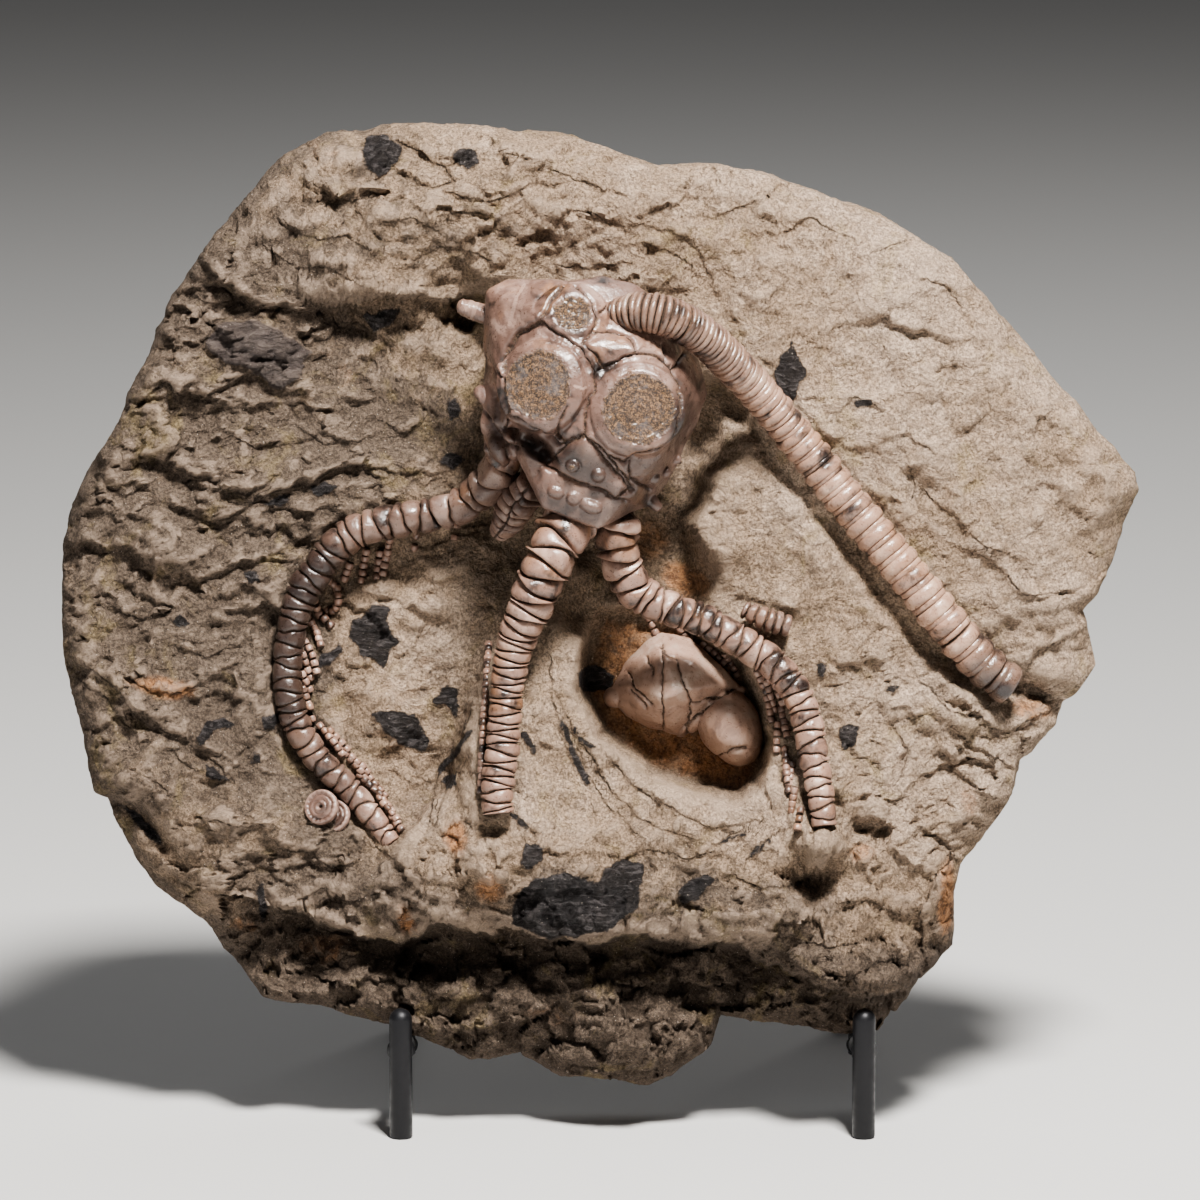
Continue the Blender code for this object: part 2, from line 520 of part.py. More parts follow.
def make_slab(collection, frame, material):
    """The stone: a grid spread over the outline, raised to the face, closed with a flat back and thinned."""
    shape = bmesh.new()
    bmesh.ops.create_grid(shape, x_segments=SLAB_GRID, y_segments=SLAB_GRID, size=1)
    front = list(shape.verts)
    x, y = disc_of_square(*np.array([vertex.co[:2] for vertex in front]).T)
    share = np.hypot(x, y)
    angle = np.arctan2(y, x)
    radius = outline_radius(angle)
    face = np.column_stack([np.cos(angle), np.sin(angle)]) * (share * radius)[:, None]
    from_edge = np.clip((1 - share) * radius / EDGE_ROUNDING, 0, 1)
    height = face_height(face) - EDGE_FALL * (1 - from_edge) ** 2
    back_share = 1 - BACK_INSET / radius
    raised = bmesh.ops.extrude_face_region(shape, geom=list(shape.faces))
    lifted = [item for item in raised["geom"] if isinstance(item, bmesh.types.BMVert)]
    by_place = {tuple(round(c, 6) for c in vertex.co): vertex for vertex in lifted}
    walls = [edge for edge in shape.edges if tuple(edge.verts[0].co) == tuple(edge.verts[1].co)]
    for index, vertex in enumerate(front):
        top = by_place[tuple(round(c, 6) for c in vertex.co)]
        top.co = (face[index, 0] * MM, face[index, 1] * MM, height[index] * MM)
        vertex.co = (face[index, 0] * back_share[index] * MM, face[index, 1] * back_share[index] * MM, 0)
    cuts = bmesh.ops.subdivide_edges(shape, edges=walls, cuts=WALL_ROWS - 1, use_grid_fill=True)
    inner = [item for item in cuts["geom_inner"] if isinstance(item, bmesh.types.BMVert)]
    places = np.array([vertex.co for vertex in inner]) / MM
    swell = WALL_LUMP * (1 + layered_noise(places, STONE_LUMP_SIZE, NOISE_SEED + 40))
    for vertex, place, out in zip(inner, places, swell):
        vertex.co.xy += Vector(place[:2]).normalized() * out * MM
    bmesh.ops.recalc_face_normals(shape, faces=shape.faces)
    mesh = bpy.data.meshes.new("matrix_slab")
    shape.to_mesh(mesh)
    shape.free()
    slab = add_object("matrix_slab", mesh, collection, frame, material)
    thin = slab.modifiers.new("thin", "DECIMATE")
    thin.ratio = SLAB_FACETS / (4 * SLAB_GRID**2)
    return slab


def upright_place(v, w):
    """(y, z) in the room of a point on the leaning face frame, in millimetres."""
    lean = math.radians(LEAN)
    return v * math.sin(lean) - w * math.cos(lean), CENTRE_HEIGHT + v * math.cos(lean) + w * math.sin(lean)


def rod(name, points, collection, frame, material, round_end=False):
    """A steel rod along (x, y, z) points in millimetres, domed at its far end if asked."""
    rows = [(*point, ROD_RADIUS) for point in points]
    if round_end:
        tip, before = Vector(points[-1]), Vector(points[-2])
        along = (tip - before).normalized()
        rows.pop()
        for angle in (0, 30, 55, 75):
            place = tip - along * ROD_RADIUS * (1 - math.sin(math.radians(angle)))
            rows.append((*place, ROD_RADIUS * math.cos(math.radians(angle))))
    mesh = tube_mesh(name, rows)
    mesh.shade_smooth()
    mesh.set_sharp_from_angle(angle=math.radians(40))
    return add_object(name, mesh, collection, frame, material)


def make_stand(collection, face_frame, room_frame, steel):
    """The stand: two upright front legs, two cradle rods, two leaning posts, two rear legs and two bars."""
    reach = ROD_RADIUS + PIECE_GAP
    post_w = -reach
    leg_y, _ = upright_place(LEG_FACE_V, LEG_FACE_W)
    for side, u in (("left", LEG_LEFT_U), ("right", LEG_RIGHT_U)):
        rod(f"front_leg_{side}", [(u, leg_y, 0), (u, leg_y, LEG_TOP_HEIGHT)], collection, room_frame, steel, True)
        cradle = [(u, CRADLE_V, LEG_FACE_W - reach - 1.0), (u, CRADLE_V, post_w + reach)]
        rod(f"cradle_rod_{side}", cradle, collection, face_frame, steel)
        post = [(u, CRADLE_V - ROD_RADIUS, post_w), (u, POST_TOP_V, post_w)]
        rod(f"back_post_{side}", post, collection, face_frame, steel, True)
        top_y, top_z = upright_place(REAR_LEG_TOP_V, post_w - 2 * reach - 0.4)
        rear = [(u, REAR_FOOT_Y, 0), (u, REAR_FOOT_Y, REAR_FOOT_HEIGHT), (u, top_y, top_z)]
        rod(f"rear_leg_{side}", rear, collection, room_frame, steel, True)
    for name, v in (("low_cross_bar", LOW_BAR_V), ("high_cross_bar", HIGH_BAR_V)):
        bar = [(LEG_LEFT_U + reach, v, post_w), (LEG_RIGHT_U - reach, v, post_w)]
        rod(name, bar, collection, face_frame, steel)


def make_fossils(collection, cutters, frame, cup_material, arm_material):
    """The crinoid and the loose pieces beside it, and a wider cutter for each that the stone makes room for."""
    cup = joined_solid("cup", cup_shapes(), collection, frame, cup_material)
    cup_room = hide_as_helper(joined_solid("cup_room", cup_shapes(CUTTER_GAP), cutters, frame))
    joined_solid("second_cup", second_cup_shapes(), collection, frame, cup_material)
    second_room = joined_solid("second_cup_room", second_cup_shapes(CUTTER_GAP), cutters, frame)
    rooms = [cup_room, hide_as_helper(second_room)]
    # name, path, first and last ossicle height, waist at the joints, cutter steps
    stacks = [
        ("column", COLUMN, 3.6, 5.4, 0.84, 20),
        ("left_arm", LEFT_ARM, 5.8, 4.2, 0.78, 18),
        ("centre_arm", CENTRE_ARM, 5.4, 3.8, 0.78, 10),
        ("right_arm", RIGHT_ARM, 5.0, 3.8, 0.78, 14),
        ("arm_stub", ARM_STUB, 3.4, 3.0, 0.8, 4),
        ("spine", SPINE, 5.0, 5.0, 1.0, 2),
        ("loose_columnal", LOOSE_COLUMNAL, 2.2, 2.2, 0.86, 2),
        ("ribbed_fragment", RIBBED_FRAGMENT, 2.2, 2.2, 0.78, 3),
    ]
    for name, path, first, last, waist, steps in stacks:
        mesh = tube_mesh(name, stack_points(path, first, last, waist))
        stack = add_object(name, mesh, collection, frame, arm_material)
        cut(stack, cup_room)
        room = tube_mesh(f"{name}_room", clearance_points(path, CUTTER_GAP, steps))
        rooms.append(hide_as_helper(add_object(f"{name}_room", room, cutters, frame)))
    return cup, rooms


def stand_on_origin(root, collection):
    """Moves the whole so that the origin is at the bottom centre of its box."""
    bpy.context.view_layer.update()
    graph = bpy.context.evaluated_depsgraph_get()
    corners = []
    for obj in collection.objects:
        evaluated = obj.evaluated_get(graph)
        corners += [evaluated.matrix_world @ vertex.co for vertex in evaluated.to_mesh().vertices]
        evaluated.to_mesh_clear()
    corners = np.array(corners)
    low, high = corners.min(axis=0), corners.max(axis=0)
    root.location = (-(low[0] + high[0]) / 2, -(low[1] + high[1]) / 2, -low[2])


def main():
    """Builds the fossil and its stand."""
    for obj in list(bpy.data.objects):
        bpy.data.objects.remove(obj)
    collection = bpy.data.collections.new("crinoid_fossil")
    cutters = bpy.data.collections.new("cutters")
    for group in (collection, cutters):
        bpy.context.scene.collection.children.link(group)
    root = bpy.data.objects.new("whole", None)
    face_frame = bpy.data.objects.new("slab_face", None)
    for empty in (root, face_frame):
        bpy.context.scene.collection.objects.link(empty)
    face_frame.parent = root
    face_frame.rotation_euler = (math.radians(90 - LEAN), 0, 0)
    face_frame.location = (0, 0, CENTRE_HEIGHT * MM)

    stone = make_material("siltstone", STONE_COLOUR, 0.9)
    cup_material = make_material("cup_calcite", CUP_COLOUR, 0.5)
    arm_material = make_material("arm_calcite", ARM_COLOUR, 0.5)
    steel = make_material("black_steel", STEEL_COLOUR, 0.45, 0.6)

    _, rooms = make_fossils(collection, cutters, face_frame, cup_material, arm_material)
    slab = make_slab(collection, face_frame, stone)
    for room in rooms:
        cut(slab, room)
    make_stand(collection, face_frame, root, steel)
    stand_on_origin(root, collection)


main()
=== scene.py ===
"""Dresses the crinoid fossil: its slab, cups, stem, arms, branchlets and stand, with a pale studio round it.

The fossil is laid out in the slab's own axes: u runs to the right along its face, v up the face and w out
of it, in millimetres. FaceAxes turns those places into the frame's metres.
"""

import logging
import math
from dataclasses import dataclass, field
from enum import Enum
from pathlib import Path as FilePath

import bmesh
import bpy
import numpy as np
from mathutils import Matrix, Vector


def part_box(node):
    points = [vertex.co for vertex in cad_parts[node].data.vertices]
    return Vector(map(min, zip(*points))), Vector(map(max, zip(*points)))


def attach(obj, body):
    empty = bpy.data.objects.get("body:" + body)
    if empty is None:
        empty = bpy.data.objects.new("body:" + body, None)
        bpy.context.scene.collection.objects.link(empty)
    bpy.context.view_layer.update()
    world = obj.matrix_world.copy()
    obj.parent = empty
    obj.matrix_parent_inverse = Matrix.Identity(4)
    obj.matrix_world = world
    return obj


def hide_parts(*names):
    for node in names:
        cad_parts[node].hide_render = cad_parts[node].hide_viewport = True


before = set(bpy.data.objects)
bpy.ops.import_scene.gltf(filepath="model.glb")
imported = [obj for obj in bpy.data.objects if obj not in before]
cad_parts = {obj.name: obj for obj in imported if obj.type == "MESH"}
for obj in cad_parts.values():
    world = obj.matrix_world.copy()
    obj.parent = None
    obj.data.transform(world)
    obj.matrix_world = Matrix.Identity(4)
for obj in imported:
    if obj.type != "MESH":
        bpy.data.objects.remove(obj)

MM = 0.001
NO_PORE = -9.0
SLAB_LEAN = 10.0
ORIGIN_HEIGHT = 102.8
LOG = logging.getLogger("crinoid")
Places = list[tuple[float, ...]]
Triple = tuple[float, float, float]


class Side(Enum):
    """The stand's two sides."""

    LEFT = "left"
    RIGHT = "right"


# ---- Shape tools ----

LATTICE_FACTORS = (374761393, 668265263, 2246822519)
SEED_FACTOR, SCRAMBLER, WORD = 3266489917, 1274126177, 0xFFFFFFFF


def scatter(cell: np.ndarray, seed: int) -> np.ndarray:
    """A fixed random share from 0 to 1 for each whole row of a lattice.

    Args:
        cell: rows of whole numbers.
        seed: which shares.

    Returns:
        The share of each row.
    """
    mixed = sum(column * factor for column, factor in zip(cell.T, LATTICE_FACTORS)) + seed * SEED_FACTOR
    mixed = mixed & WORD
    mixed = ((mixed ^ (mixed >> 13)) * SCRAMBLER) & WORD
    return (mixed ^ (mixed >> 16)) / WORD


def value_noise(points: np.ndarray, size: float, seed: int) -> np.ndarray:
    """Smooth noise with hills about one size across.

    Args:
        points: rows of (u, v, w).
        size: distance from hill to hill.
        seed: which noise.

    Returns:
        A value from -1 to 1 for each row.
    """
    scaled = points / size
    cell = np.floor(scaled).astype(np.int64)
    t = scaled - cell
    t = t * t * t * (t * (t * 6 - 15) + 10)
    total = np.zeros(len(points))
    for corner in range(8):
        step = np.array([corner & 1, corner >> 1 & 1, corner >> 2 & 1])
        share = np.prod(np.where(step == 1, t, 1 - t), axis=1)
        total += share * scatter(cell + step, seed)
    return total * 2 - 1


def layered_noise(points: np.ndarray, size: float, seed: int, layers: int = 3) -> np.ndarray:
    """Value noise at several sizes, each half as large and half as high.

    Args:
        points: rows of (u, v, w).
        size: the largest hills.
        seed: which noise.
        layers: how many sizes.

    Returns:
        A value for each row, mostly from -1.2 to 1.2.
    """
    total = np.zeros(len(points))
    for layer in range(layers):
        total += value_noise(points, size / 2**layer, seed + layer) / 2**layer
    return total


def ridged_noise(points: np.ndarray, size: float, seed: int, layers: int = 3) -> np.ndarray:
    """Noise with sharp crests and round hollows, as broken stone has.

    Args:
        points: rows of (u, v, w).
        size: distance between the largest crests.
        seed: which noise.
        layers: how many sizes.

    Returns:
        A value for each row, from about -1 to 1.
    """
    total = np.zeros(len(points))
    for layer in range(layers):
        total += (1 - 2.4 * np.abs(value_noise(points, size / 2**layer, seed + layer))) / 1.8**layer
    return total / 1.8


def chipped_noise(points: np.ndarray, size: float, seed: int) -> np.ndarray:
    """Flat tilted chips, one round each point of a jittered grid in the face's plane.

    Args:
        points: rows of (u, v, w).
        size: width of a chip.
        seed: which chips.

    Returns:
        A value from about -1 to 1 for each row.
    """
    scaled = points[:, :2] / size
    cell = np.floor(scaled).astype(np.int64)
    nearest = np.full(len(points), np.inf)
    lie = np.zeros(len(points))
    for step in [(du, dv) for du in (-1, 0, 1) for dv in (-1, 0, 1)]:
        at = cell + step
        shares = [scatter(at, seed + 7 * turn) for turn in range(4)]
        offset = scaled - (at + np.column_stack(shares[:2]))
        distance = (offset**2).sum(axis=1)
        tilt = offset[:, 0] * (shares[2] - 0.5) + offset[:, 1] * (shares[3] - 0.5)
        closer = distance < nearest
        nearest[closer] = distance[closer]
        lie[closer] = (2.2 * tilt + (shares[2] + shares[3] - 1))[closer]
    return lie


def line_distance(points: np.ndarray, line: Places, closed: bool = False) -> tuple[np.ndarray, np.ndarray]:
    """How far each place is from a line.

    Args:
        points: rows of (u, v).
        line: the line's corners.
        closed: whether its end joins its start.

    Returns:
        The distance, and the side, which is positive to the line's left.
    """
    corners = np.array(line + line[:1] if closed else line, float)[:, :2]
    nearest = np.full(len(points), np.inf)
    side = np.zeros(len(points))
    for start, end in zip(corners[:-1], corners[1:]):
        along = end - start
        offset = points - start
        t = np.clip(offset @ along / (along @ along), 0, 1)
        distance = np.linalg.norm(offset - t[:, None] * along, axis=1)
        closer = distance < nearest
        nearest[closer] = distance[closer]
        side[closer] = np.sign(along[0] * offset[:, 1] - along[1] * offset[:, 0])[closer]
    return nearest, side


def inside(points: np.ndarray, outline: Places) -> np.ndarray:
    """Which places are inside a closed outline.

    Args:
        points: rows of (u, v).
        outline: its corners.

    Returns:
        True for each row inside.
    """
    found = np.zeros(len(points), bool)
    for (u0, v0), (u1, v1) in zip(outline, outline[1:] + outline[:1]):
        if v0 != v1:
            crosses = (points[:, 1] > min(v0, v1)) & (points[:, 1] <= max(v0, v1))
            found ^= crosses & (points[:, 0] < u0 + (points[:, 1] - v0) / (v1 - v0) * (u1 - u0))
    return found


def depth_inside(points: np.ndarray, outline: Places) -> np.ndarray:
    """How far each (u, v) row is inside a closed outline, negative outside it."""
    edge, _ = line_distance(points, outline, closed=True)
    return np.where(inside(points, outline), edge, -edge)


def smooth_step(x: np.ndarray) -> np.ndarray:
    """0 below 0 and 1 above 1, with a smooth rise between."""
    t = np.clip(x, 0, 1)
    return t * t * (3 - 2 * t)


def unit(rows: np.ndarray) -> np.ndarray:
    """Each row, or one vector, at a length of one."""
    return rows / np.maximum(np.linalg.norm(rows, axis=-1, keepdims=True), 1e-12)


@dataclass(frozen=True)
class FaceAxes:
    """The slab's own axes in the frame.

    Attributes:
        origin: where u, v and w are zero, in the frame's metres.
        lean: how far the face tips back, in degrees.
    """

    origin: Triple
    lean: float

    @property
    def matrix(self) -> Matrix:
        """From (u, v, w) in metres to the frame."""
        return Matrix.Translation(self.origin) @ Matrix.Rotation(math.radians(90 - self.lean), 4, "X")

    def to_frame(self, points: np.ndarray) -> np.ndarray:
        """Rows of (u, v, w) in millimetres as rows of the frame's metres."""
        whole = np.array(self.matrix)
        return points * MM @ whole[:3, :3].T + whole[:3, 3]


class Run:
    """A smooth line through places (u, v, w, radius)."""

    def __init__(self, places: Places) -> None:
        """Measures the line.

        Args:
            places: its places in order.
        """
        self.places = np.array(places, float)
        steps = np.linalg.norm(np.diff(self.places[:, :3], axis=0), axis=1)
        self.marks = np.concatenate([[0], np.cumsum(steps)])
        self.length = float(self.marks[-1])

    def at(self, distance: np.ndarray) -> np.ndarray:
        """The line's places.

        Args:
            distance: how far along.

        Returns:
            A row of (u, v, w, radius) at each distance.
        """
        last = len(self.places) - 1
        index = np.clip(np.searchsorted(self.marks, distance) - 1, 0, last - 1)
        t = ((distance - self.marks[index]) / (self.marks[index + 1] - self.marks[index]))[:, None]
        a, b, c, d = (self.places[np.clip(index + k, 0, last)] for k in (-1, 0, 1, 2))
        square, cube = (2 * a - 5 * b + 4 * c - d) * t**2, (3 * b - a - 3 * c + d) * t**3
        return 0.5 * (2 * b + (c - a) * t + square + cube)

    def axes(self, distance: np.ndarray) -> tuple[np.ndarray, np.ndarray, np.ndarray]:
        """The line's directions.

        Args:
            distance: how far along.

        Returns:
            Its way, the side that faces out of the slab, and the side across the face, as unit rows.
        """
        low = np.clip(distance - 0.4, 0, self.length - 0.8)
        way = self.at(low + 0.8)[:, :3] - self.at(low)[:, :3]
        way /= np.linalg.norm(way, axis=1)[:, None]
        out = np.array([0.0, 0.0, 1.0]) - way[:, 2:3] * way
        out /= np.maximum(np.linalg.norm(out, axis=1)[:, None], 1e-6)
        return way, out, np.cross(way, out)

    def marks_of(self, first: float, last: float, calm: float, jitter: float, seed: int) -> np.ndarray:
        """Where each plate of a stack starts, and where the last one ends.

        Args:
            first: height of the first plate.
            last: height of the plates once they have settled.
            calm: how far along, from 0 to 1, they have settled.
            jitter: how uneven the heights are, as a share.
            seed: which unevenness.

        Returns:
            Distances along, from 0 to the length.
        """
        random = np.random.default_rng(seed)
        marks = [0.0]
        while marks[-1] < self.length:
            height = first + (last - first) * min(1, marks[-1] / self.length / calm)
            marks.append(marks[-1] + height * (1 + jitter * random.uniform(-1, 1)))
        return np.array(marks) * self.length / marks[-1]


def grid_faces(rows: int, columns: int, wrap: bool) -> np.ndarray:
    """Quads between a grid's points, which are numbered row by row.

    Args:
        rows: how many rows of points.
        columns: how many points in a row.
        wrap: whether each row closes on itself.

    Returns:
        Rows of four point numbers.
    """
    row, column = np.meshgrid(np.arange(rows - 1), np.arange(columns if wrap else columns - 1), indexing="ij")
    beside, low, high = (column + 1) % columns, row * columns, (row + 1) * columns
    return np.stack((low + column, low + beside, high + beside, high + column), axis=-1).reshape(-1, 4)


def make_mesh(name: str, points: np.ndarray, faces: list, axes: FaceAxes | None) -> bpy.types.Mesh:
    """A smooth mesh of the points and faces.

    Args:
        name: the mesh's name.
        points: rows of (u, v, w) in millimetres, or of the frame's metres where axes is None.
        faces: point numbers of each face.
        axes: the slab's axes.

    Returns:
        The mesh, in the frame's metres.
    """
    mesh = bpy.data.meshes.new(name)
    places = axes.to_frame(points) if axes else points
    mesh.from_pydata(places.tolist(), [], [list(map(int, face)) for face in faces])
    mesh.shade_smooth()
    mesh.update()
    return mesh


def face_out(mesh: bpy.types.Mesh) -> None:
    """Merges doubled points and turns every face outwards.

    Args:
        mesh: the mesh, which is changed.
    """
    shape = bmesh.new()
    shape.from_mesh(mesh)
    bmesh.ops.remove_doubles(shape, verts=shape.verts, dist=1e-6)
    bmesh.ops.recalc_face_normals(shape, faces=shape.faces)
    shape.to_mesh(mesh)
    shape.free()
    mesh.shade_smooth()


def set_values(mesh: bpy.types.Mesh, **values: np.ndarray | float) -> None:
    """Stores numbers at the mesh's points, by name, for a material to read.

    Args:
        mesh: the mesh, which is changed.
        values: one number for each point, or the same one for all.
    """
    for name, numbers in values.items():
        row = np.broadcast_to(np.asarray(numbers, np.float32), len(mesh.vertices))
        mesh.attributes.new(name, "FLOAT", "POINT").data.foreach_set("value", np.ascontiguousarray(row))


def read_points(mesh: bpy.types.Mesh) -> np.ndarray:
    """Reads where the mesh's points are.

    Args:
        mesh: the mesh.

    Returns:
        A row for each point.
    """
    points = np.empty(len(mesh.vertices) * 3)
    mesh.vertices.foreach_get("co", points)
    return points.reshape(-1, 3)


def read_normals(mesh: bpy.types.Mesh) -> np.ndarray:
    """Reads which way the mesh's points face.

    Args:
        mesh: the mesh.

    Returns:
        A unit row for each point.
    """
    normals = np.empty(len(mesh.vertices) * 3)
    mesh.vertex_normals.foreach_get("vector", normals)
    return normals.reshape(-1, 3)


def write_points(mesh: bpy.types.Mesh, points: np.ndarray) -> None:
    """Puts the mesh's points at the rows."""
    mesh.vertices.foreach_set("co", points.reshape(-1))
    mesh.update()


def settle(obj: bpy.types.Object) -> None:
    """Turns the object's modifiers into plain mesh.

    Args:
        obj: the object, which is changed.
    """
    bpy.context.view_layer.update()
    graph = bpy.context.evaluated_depsgraph_get()
    mesh = bpy.data.meshes.new_from_object(obj.evaluated_get(graph))
    obj.modifiers.clear()
    old = obj.data
    obj.data = mesh
    bpy.data.meshes.remove(old)
    mesh.name = obj.name


def show(name: str, mesh: bpy.types.Mesh, material: bpy.types.Material) -> bpy.types.Object:
    """Puts a mesh in the scene.

    Args:
        name: the piece's name.
        mesh: its mesh.
        material: its finish.

    Returns:
        The piece.
    """
    mesh.materials.clear()
    mesh.materials.append(material)
    obj = bpy.data.objects.new(name, mesh)
    bpy.context.scene.collection.objects.link(obj)
    return obj


def hand_over(piece: bpy.types.Object, slot: str, *nodes: str) -> None:
    """Hangs a piece on the root body, hides the solids that it stands for and logs its faces.

    Args:
        piece: the finished piece.
        slot: the record's material slot; not used.
        nodes: the solids that it replaces.
    """
    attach(piece, "root")
    if nodes:
        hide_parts(*nodes)
    LOG.info("%s: %d faces", piece.name, len(piece.data.polygons))


# ---- Nodes and finishes ----


class Value:
    """A node's output in a tree, which can be added to, taken from and multiplied."""

    def __init__(self, tree: "NodeTree", socket: bpy.types.NodeSocket) -> None:
        """Keeps the tree and the socket."""
        self.tree, self.socket = tree, socket

    def __add__(self, other: object) -> "Value":
        """The sum."""
        return self.tree.maths("ADD", self, other)

    def __sub__(self, other: object) -> "Value":
        """The difference."""
        return self.tree.maths("SUBTRACT", self, other)

    def __mul__(self, other: object) -> "Value":
        """The product."""
        return self.tree.maths("MULTIPLY", self, other)


class NodeTree:
    """A tree of nodes being built, for a material or for geometry."""

    def __init__(self, tree: bpy.types.NodeTree) -> None:
        """Takes up Blender's tree."""
        self.tree = tree

    def feed(self, target: bpy.types.NodeSocket, value: object) -> None:
        """Joins an output to a socket, or sets a plain value on it.

        Args:
            target: the socket.
            value: an output, a number, a text or a colour.
        """
        source = value.socket if isinstance(value, Value) else value
        if isinstance(source, bpy.types.NodeSocket):
            self.tree.links.new(source, target)
        elif target.type == "RGBA":
            target.default_value = (*source, 1.0)
        else:
            target.default_value = source

    def node(self, kind: str, inputs: dict | None = None, **settings: object) -> bpy.types.Node:
        """Adds a node.

        Args:
            kind: Blender's name for it.
            inputs: what goes into its sockets, by name or number.
            settings: its own settings.

        Returns:
            The node.
        """
        node = self.tree.nodes.new(kind)
        for name, value in settings.items():
            setattr(node, name, value)
        for name, value in (inputs or {}).items():
            self.feed(node.inputs[name], value)
        return node

    def out(self, kind: str, inputs: dict | None = None, output: int | str = 0, **settings: object) -> Value:
        """One output of a new node, given as for node()."""
        return Value(self, self.node(kind, inputs, **settings).outputs[output])

    def maths(self, operation: str, a: object, b: object = 0.0, clamp: bool = False) -> Value:
        """One sum on two numbers, held from 0 to 1 where clamp is set."""
        return self.out("ShaderNodeMath", {0: a, 1: b}, operation=operation, use_clamp=clamp)


class Surface(NodeTree):
    """A Principled material being built."""

    def __init__(self, name: str) -> None:
        """Starts the material.

        Args:
            name: the material's name.
        """
        self.material = bpy.data.materials.new(name)
        self.material.use_nodes = True
        super().__init__(self.material.node_tree)
        self.place = self.out("ShaderNodeTexCoord", output="Object")

    def stored(self, name: str) -> Value:
        """A number that the mesh holds at each point."""
        return self.out("ShaderNodeAttribute", output="Fac", attribute_name=name)

    def noise(
        self,
        size: float,
        detail: float = 3,
        roughness: float = 0.55,
        stretch: Triple = (1, 1, 1),
        warp: float = 0,
    ) -> Value:
        """Noise in the object's own space.

        Args:
            size: width of its largest blots, in millimetres.
            detail: how many finer sizes are laid over it.
            roughness: how strong the finer sizes are.
            stretch: how much tighter it is along each axis.
            warp: how much it is distorted.

        Returns:
            A number round 0.5.
        """
        place = self.out("ShaderNodeMapping", {"Vector": self.place, "Scale": stretch})
        inputs = {"Vector": place, "Scale": 1 / (size * MM), "Detail": detail, "Roughness": roughness}
        return self.out("ShaderNodeTexNoise", {**inputs, "Distortion": warp}, "Fac")

    def cells(self, size: float) -> Value:
        """Distance to the nearest of scattered points, that far apart in millimetres."""
        return self.out("ShaderNodeTexVoronoi", {"Vector": self.place, "Scale": 1 / (size * MM)}, "Distance")

    def spread(self, value: Value, low: float, high: float, to_low: float = 0, to_high: float = 1) -> Value:
        """A number moved from one range to another with a soft start and end.

        Args:
            value: the number.
            low: start of its range.
            high: end of its range.
            to_low: what the start becomes.
            to_high: what the end becomes.

        Returns:
            The moved number.
        """
        inputs = {"Value": value, "From Min": low, "From Max": high, "To Min": to_low, "To Max": to_high}
        return self.out("ShaderNodeMapRange", inputs, "Result", interpolation_type="SMOOTHSTEP")

    def mix(self, share: object, a: object, b: object, blend: str = "MIX") -> Value:
        """The colour a with that share of b blended in."""
        return self.out("ShaderNodeMix", {0: share, 6: a, 7: b}, 2, data_type="RGBA", blend_type=blend)

    def grey(self, value: Value) -> Value:
        """A grey of that value, to multiply by."""
        return self.out("ShaderNodeCombineColor", dict.fromkeys(range(3), value))

    def bump(self, height: Value, depth: float, under: Value | None = None) -> Value:
        """A normal that shows the height, times depth in millimetres, as relief over another normal."""
        over = {"Normal": under} if under else {}
        return self.out("ShaderNodeBump", {"Distance": depth * MM, "Height": height, **over}, "Normal")

    def finish(self, colour: object, roughness: object, **settings: object) -> bpy.types.Material:
        """Feeds the shader.

        Args:
            colour: its base colour.
            roughness: its roughness.
            settings: its other sockets, by name.

        Returns:
            The material.
        """
        sockets = self.tree.nodes["Principled BSDF"].inputs
        for name, value in {"Base Color": colour, "Roughness": roughness, **settings}.items():
            self.feed(sockets[name.replace("_", " ")], value)
        return self.material


